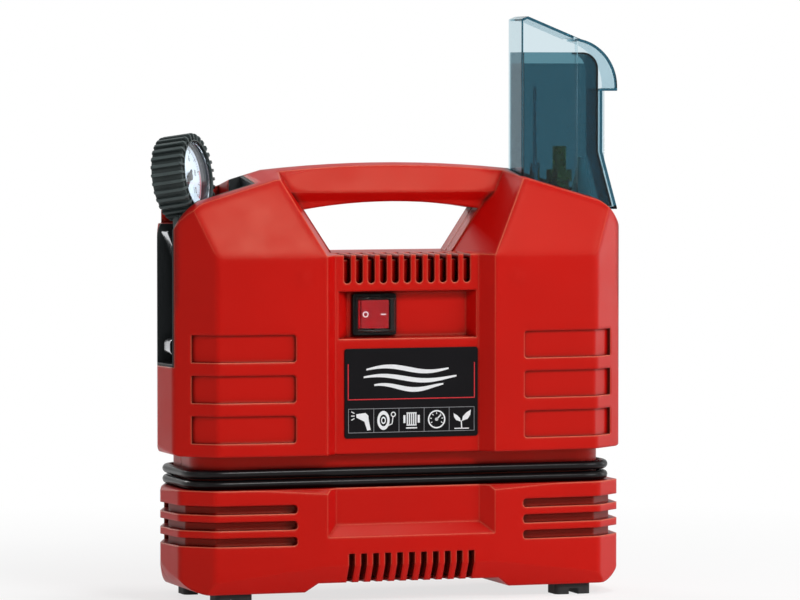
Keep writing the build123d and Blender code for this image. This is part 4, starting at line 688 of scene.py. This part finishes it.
gun_outline = [
    (-3.6, 2.4),
    (2.4, -0.6),
    (4.6, -7.0),
    (7.2, -6.6),
    (5.6, 0.6),
    (5.4, 3.6),
    (3.2, 5.6),
    (-3.6, 4.8),
]
puffs = ((-28.0, 6.0), (0.0, 3.6), (28.0, 1.2))
tyre_x, tyre_slant, tyre_tread, tyre_hub = -2.2, 0.68, (4.2, 6.8), (1.6, 2.6)
meter_x, meter_y, meter_ring = 5.2, 4.2, (1.2, 1.9)
dial_ring, dial_hub, dial_tick_reach, dial_ticks = (5.6, 6.6), (0.0005, 1.2), 4.4, 7
leaf = [(0.3, -1.6), (0.9, 1.6), (3.4, 4.2), (7.0, 6.4), (6.6, 2.8), (4.6, -0.2)]
gun_cell, tyre_cell, motor_cell, dial_cell, leaf_cell = (
    label_face @ moved(cell_wide * (cell - 2), cell_middle) for cell in range(cell_count)
)

icons = bmesh.new()
plate(icons, gun_outline, gun_cell, ink)
for turn, lift in puffs:
    bar(icons, (-6.2, lift), (2.6, 0.7), gun_cell, ink, turn)
for ring in (tyre_tread, tyre_hub):
    band(icons, *ring, tyre_cell @ moved(tyre_x, 0), ink, squeeze=tyre_slant)
band(icons, *meter_ring, tyre_cell @ moved(meter_x, meter_y), ink, steps=24)
bar(icons, (4.6, -0.2), (0.7, 5.0), tyre_cell, ink, -8.0)
bar(icons, (2.8, -3.2), (3.6, 0.7), tyre_cell, ink, 24.0)
for fin in range(5):
    bar(icons, (-3.2 + 1.6 * fin, 0.6), (0.9, 8.2), motor_cell, ink)
for height in (4.9, -3.7):
    bar(icons, (0.0, height), (7.6, 0.9), motor_cell, ink)
for side in (-5.4, 5.4):
    bar(icons, (side, 0.6), (1.6, 5.6), motor_cell, ink)
bar(icons, (0.0, -5.8), (8.4, 0.9), motor_cell, ink)
band(icons, *dial_ring, dial_cell, ink)
bar(icons, (1.5, 1.5), (5.0, 1.0), dial_cell, ink, 45.0)
band(icons, *dial_hub, dial_cell, ink, steps=20)
for tick in range(dial_ticks):
    turn = 210.0 - 40.0 * tick
    bar(icons, polar(dial_tick_reach, turn), (1.3, 0.6), dial_cell, ink, turn)
plate(icons, leaf[::-1], leaf_cell, ink)
plate(icons, [(-0.5 - 0.8 * x, 0.76 * y - 0.8) for x, y in leaf], leaf_cell, ink)
bar(icons, (-0.1, -4.0), (0.8, 5.4), leaf_cell, ink, 4.0)
bar(icons, (0.0, -6.9), (11.0, 0.7), leaf_cell, ink)
keep(icons, "label_pictograms", print_white, "casing")


# Gauge print: scale of 0 to 10 over 270 degrees, with a red end

gauge_middle = Vector((-153.6, -4.3, 303.0))
gauge_axis = Vector((0.77, -0.617, 0.14)).normalized()
gauge_right = Vector((0.617, 0.77, 0.0)).normalized()
gauge_up = gauge_axis.cross(gauge_right)
dial_lift = 2.5
dial_turn = Matrix((gauge_right, gauge_up, gauge_axis)).transposed().to_4x4()
dial_place = Matrix.Translation(gauge_middle + gauge_axis * dial_lift) @ dial_turn
scale_start, scale_sweep, scale_top, marks_each = 225.0, 270.0, 10, 5
scale_step = scale_sweep / scale_top
mark_reach, long_mark, short_mark = 21.6, (3.4, 0.75), (1.7, 0.4)
numeral_reach, numeral_size, numeral_step = 14.4, 6.4, 2
red_ring, red_sweep, red_steps = (21.9, 23.2), 54.0, 18
scale_marks = bmesh.new()
for mark in range(scale_top * marks_each + 1):
    turn = scale_start - scale_step * mark / marks_each
    size = long_mark if mark % marks_each == 0 else short_mark
    bar(scale_marks, polar(mark_reach - size[0] / 2, turn), size, dial_place, ink, turn)
for number in range(0, scale_top + 1, numeral_step):
    spot = moved(*polar(numeral_reach, scale_start - scale_step * number))
    numeral(scale_marks, str(number), numeral_size, dial_place @ spot, ink)
keep(scale_marks, "dial_scale", print_black, "inflator")
red_end = bmesh.new()
band(red_end, *red_ring, dial_place, ink, scale_start - scale_sweep, red_sweep, red_steps)
keep(red_end, "dial_red_end", print_red, "inflator")


# Rocker marks: drawn on a plane before the rocker, then laid on its face

marks_x, marks_y, marks_z = -22.4, -60.0, 205.0
ray_start = -80.0 * MM
mark_clearance = 0.01 * MM
rocker_face = moved(marks_x, marks_y, marks_z) @ FACING_FRONT
marks = bmesh.new()
band(marks, 1.5, 2.1, rocker_face @ moved(-6.2, 0), ink, steps=28)
bar(marks, (6.4, 0.0), (3.6, 0.7), rocker_face, ink)
rocker_mesh = nodes["switch_rocker"].data
rocker_skin = BVHTree.FromPolygons(
    [vert.co for vert in rocker_mesh.vertices],
    [face.vertices for face in rocker_mesh.polygons],
)
for vert in marks.verts:
    lift = marks_y * MM - vert.co.y
    hit = rocker_skin.ray_cast(Vector((vert.co.x, ray_start, vert.co.z)), Vector((0, 1, 0)))[0]
    vert.co.y = hit.y - lift - mark_clearance
keep(marks, "rocker_marks", print_white, "rocker")


# Lamps: name, place, size and power, all turned to the part's middle

lamp_target = Vector((0, 0, 0.2))
for name, place, size, power in (
    ("front_light", (0.5, -2.0, 1.55), (0.7, 0.5), 24.0),
    ("top_light", (0.4, -0.1, 2.4), (0.7, 0.5), 18.0),
    ("side_light", (1.9, -1.6, 1.0), (1.0, 1.0), 16.0),
    ("right_light", (2.3, 0.3, 0.4), (0.6, 1.2), 6.0),
    ("left_light", (-2.2, -1.4, 0.9), (1.2, 1.2), 3.5),
    ("rear_light", (-0.9, 2.2, 1.5), (0.9, 0.6), 16.0),
):
    lamp = bpy.data.lights.new(name, "AREA")
    lamp.shape = "RECTANGLE"
    lamp.size, lamp.size_y = size
    lamp.energy = power
    lamp_object = in_scene(name, lamp)
    lamp_object.location = place
    lamp_object.rotation_mode = "QUATERNION"
    lamp_object.rotation_quaternion = (lamp_target - Vector(place)).to_track_quat("-Z", "Y")


# Background and floor: white where they are looked at, and a pale light for all else

sky_strength, mirror_share = 0.17, 0.6
floor_half, floor_colour = 6.0, (0.9, 0.9, 0.9, 1.0)
floor_fade_start, floor_fade_end, floor_least_white = 0.2, 0.8, 0.72


def looked_at(tree):
    """One where a camera or a clear piece looks at a surface, less for a mirror, and nothing for light."""
    path = add_node(tree, "LightPath")
    mirror = add_node(tree, "Math", "MULTIPLY")
    mirror.inputs[1].default_value = mirror_share
    tree.links.new(path.outputs["Is Glossy Ray"], mirror.inputs[0])
    seen = path.outputs["Is Camera Ray"]
    for other in (mirror.outputs["Value"], path.outputs["Is Transmission Ray"]):
        largest = add_node(tree, "Math", "MAXIMUM")
        tree.links.new(seen, largest.inputs[0])
        tree.links.new(other, largest.inputs[1])
        seen = largest.outputs["Value"]
    return seen


world = bpy.data.worlds.new("studio")
bpy.context.scene.world = world
sky, sky_out = empty_tree(world, "OutputWorld")
sky_light = add_node(sky, "Background", color=WHITE, strength=sky_strength).outputs["Background"]
sky_white = add_node(sky, "Background", color=WHITE, strength=1.0).outputs["Background"]
mix_shaders(sky, looked_at(sky), sky_light, sky_white, sky_out)

floor_mesh = bpy.data.meshes.new("floor")
floor_bm = bmesh.new()
bmesh.ops.create_grid(floor_bm, x_segments=1, y_segments=1, size=floor_half)
floor_bm.to_mesh(floor_mesh)
floor_bm.free()
floor = in_scene("floor", floor_mesh)
floor_material = bpy.data.materials.new("floor_pale")
ground, ground_out = empty_tree(floor_material, "OutputMaterial")
ground_lit = add_node(ground, "BsdfDiffuse", color=floor_colour).outputs["BSDF"]
ground_white = add_node(ground, "Emission", color=WHITE, strength=1.0).outputs["Emission"]
ground_place = add_node(ground, "TexCoord").outputs["Object"]
ground_reach = add_node(ground, "VectorMath", "LENGTH")
ground.links.new(ground_place, ground_reach.inputs[0])
ground_fade = add_node(
    ground,
    "MapRange",
    from_min=floor_fade_start,
    from_max=floor_fade_end,
    to_min=floor_least_white,
    to_max=1.0,
)
ground.links.new(ground_reach.outputs["Value"], ground_fade.inputs["Value"])
ground_share = add_node(ground, "Math", "MULTIPLY")
ground.links.new(looked_at(ground), ground_share.inputs[0])
ground.links.new(ground_fade.outputs["Result"], ground_share.inputs[1])
mix_shaders(ground, ground_share.outputs["Value"], ground_lit, ground_white, ground_out)
floor_mesh.materials.append(floor_material)

bpy.context.scene.view_settings.view_transform = "Standard"
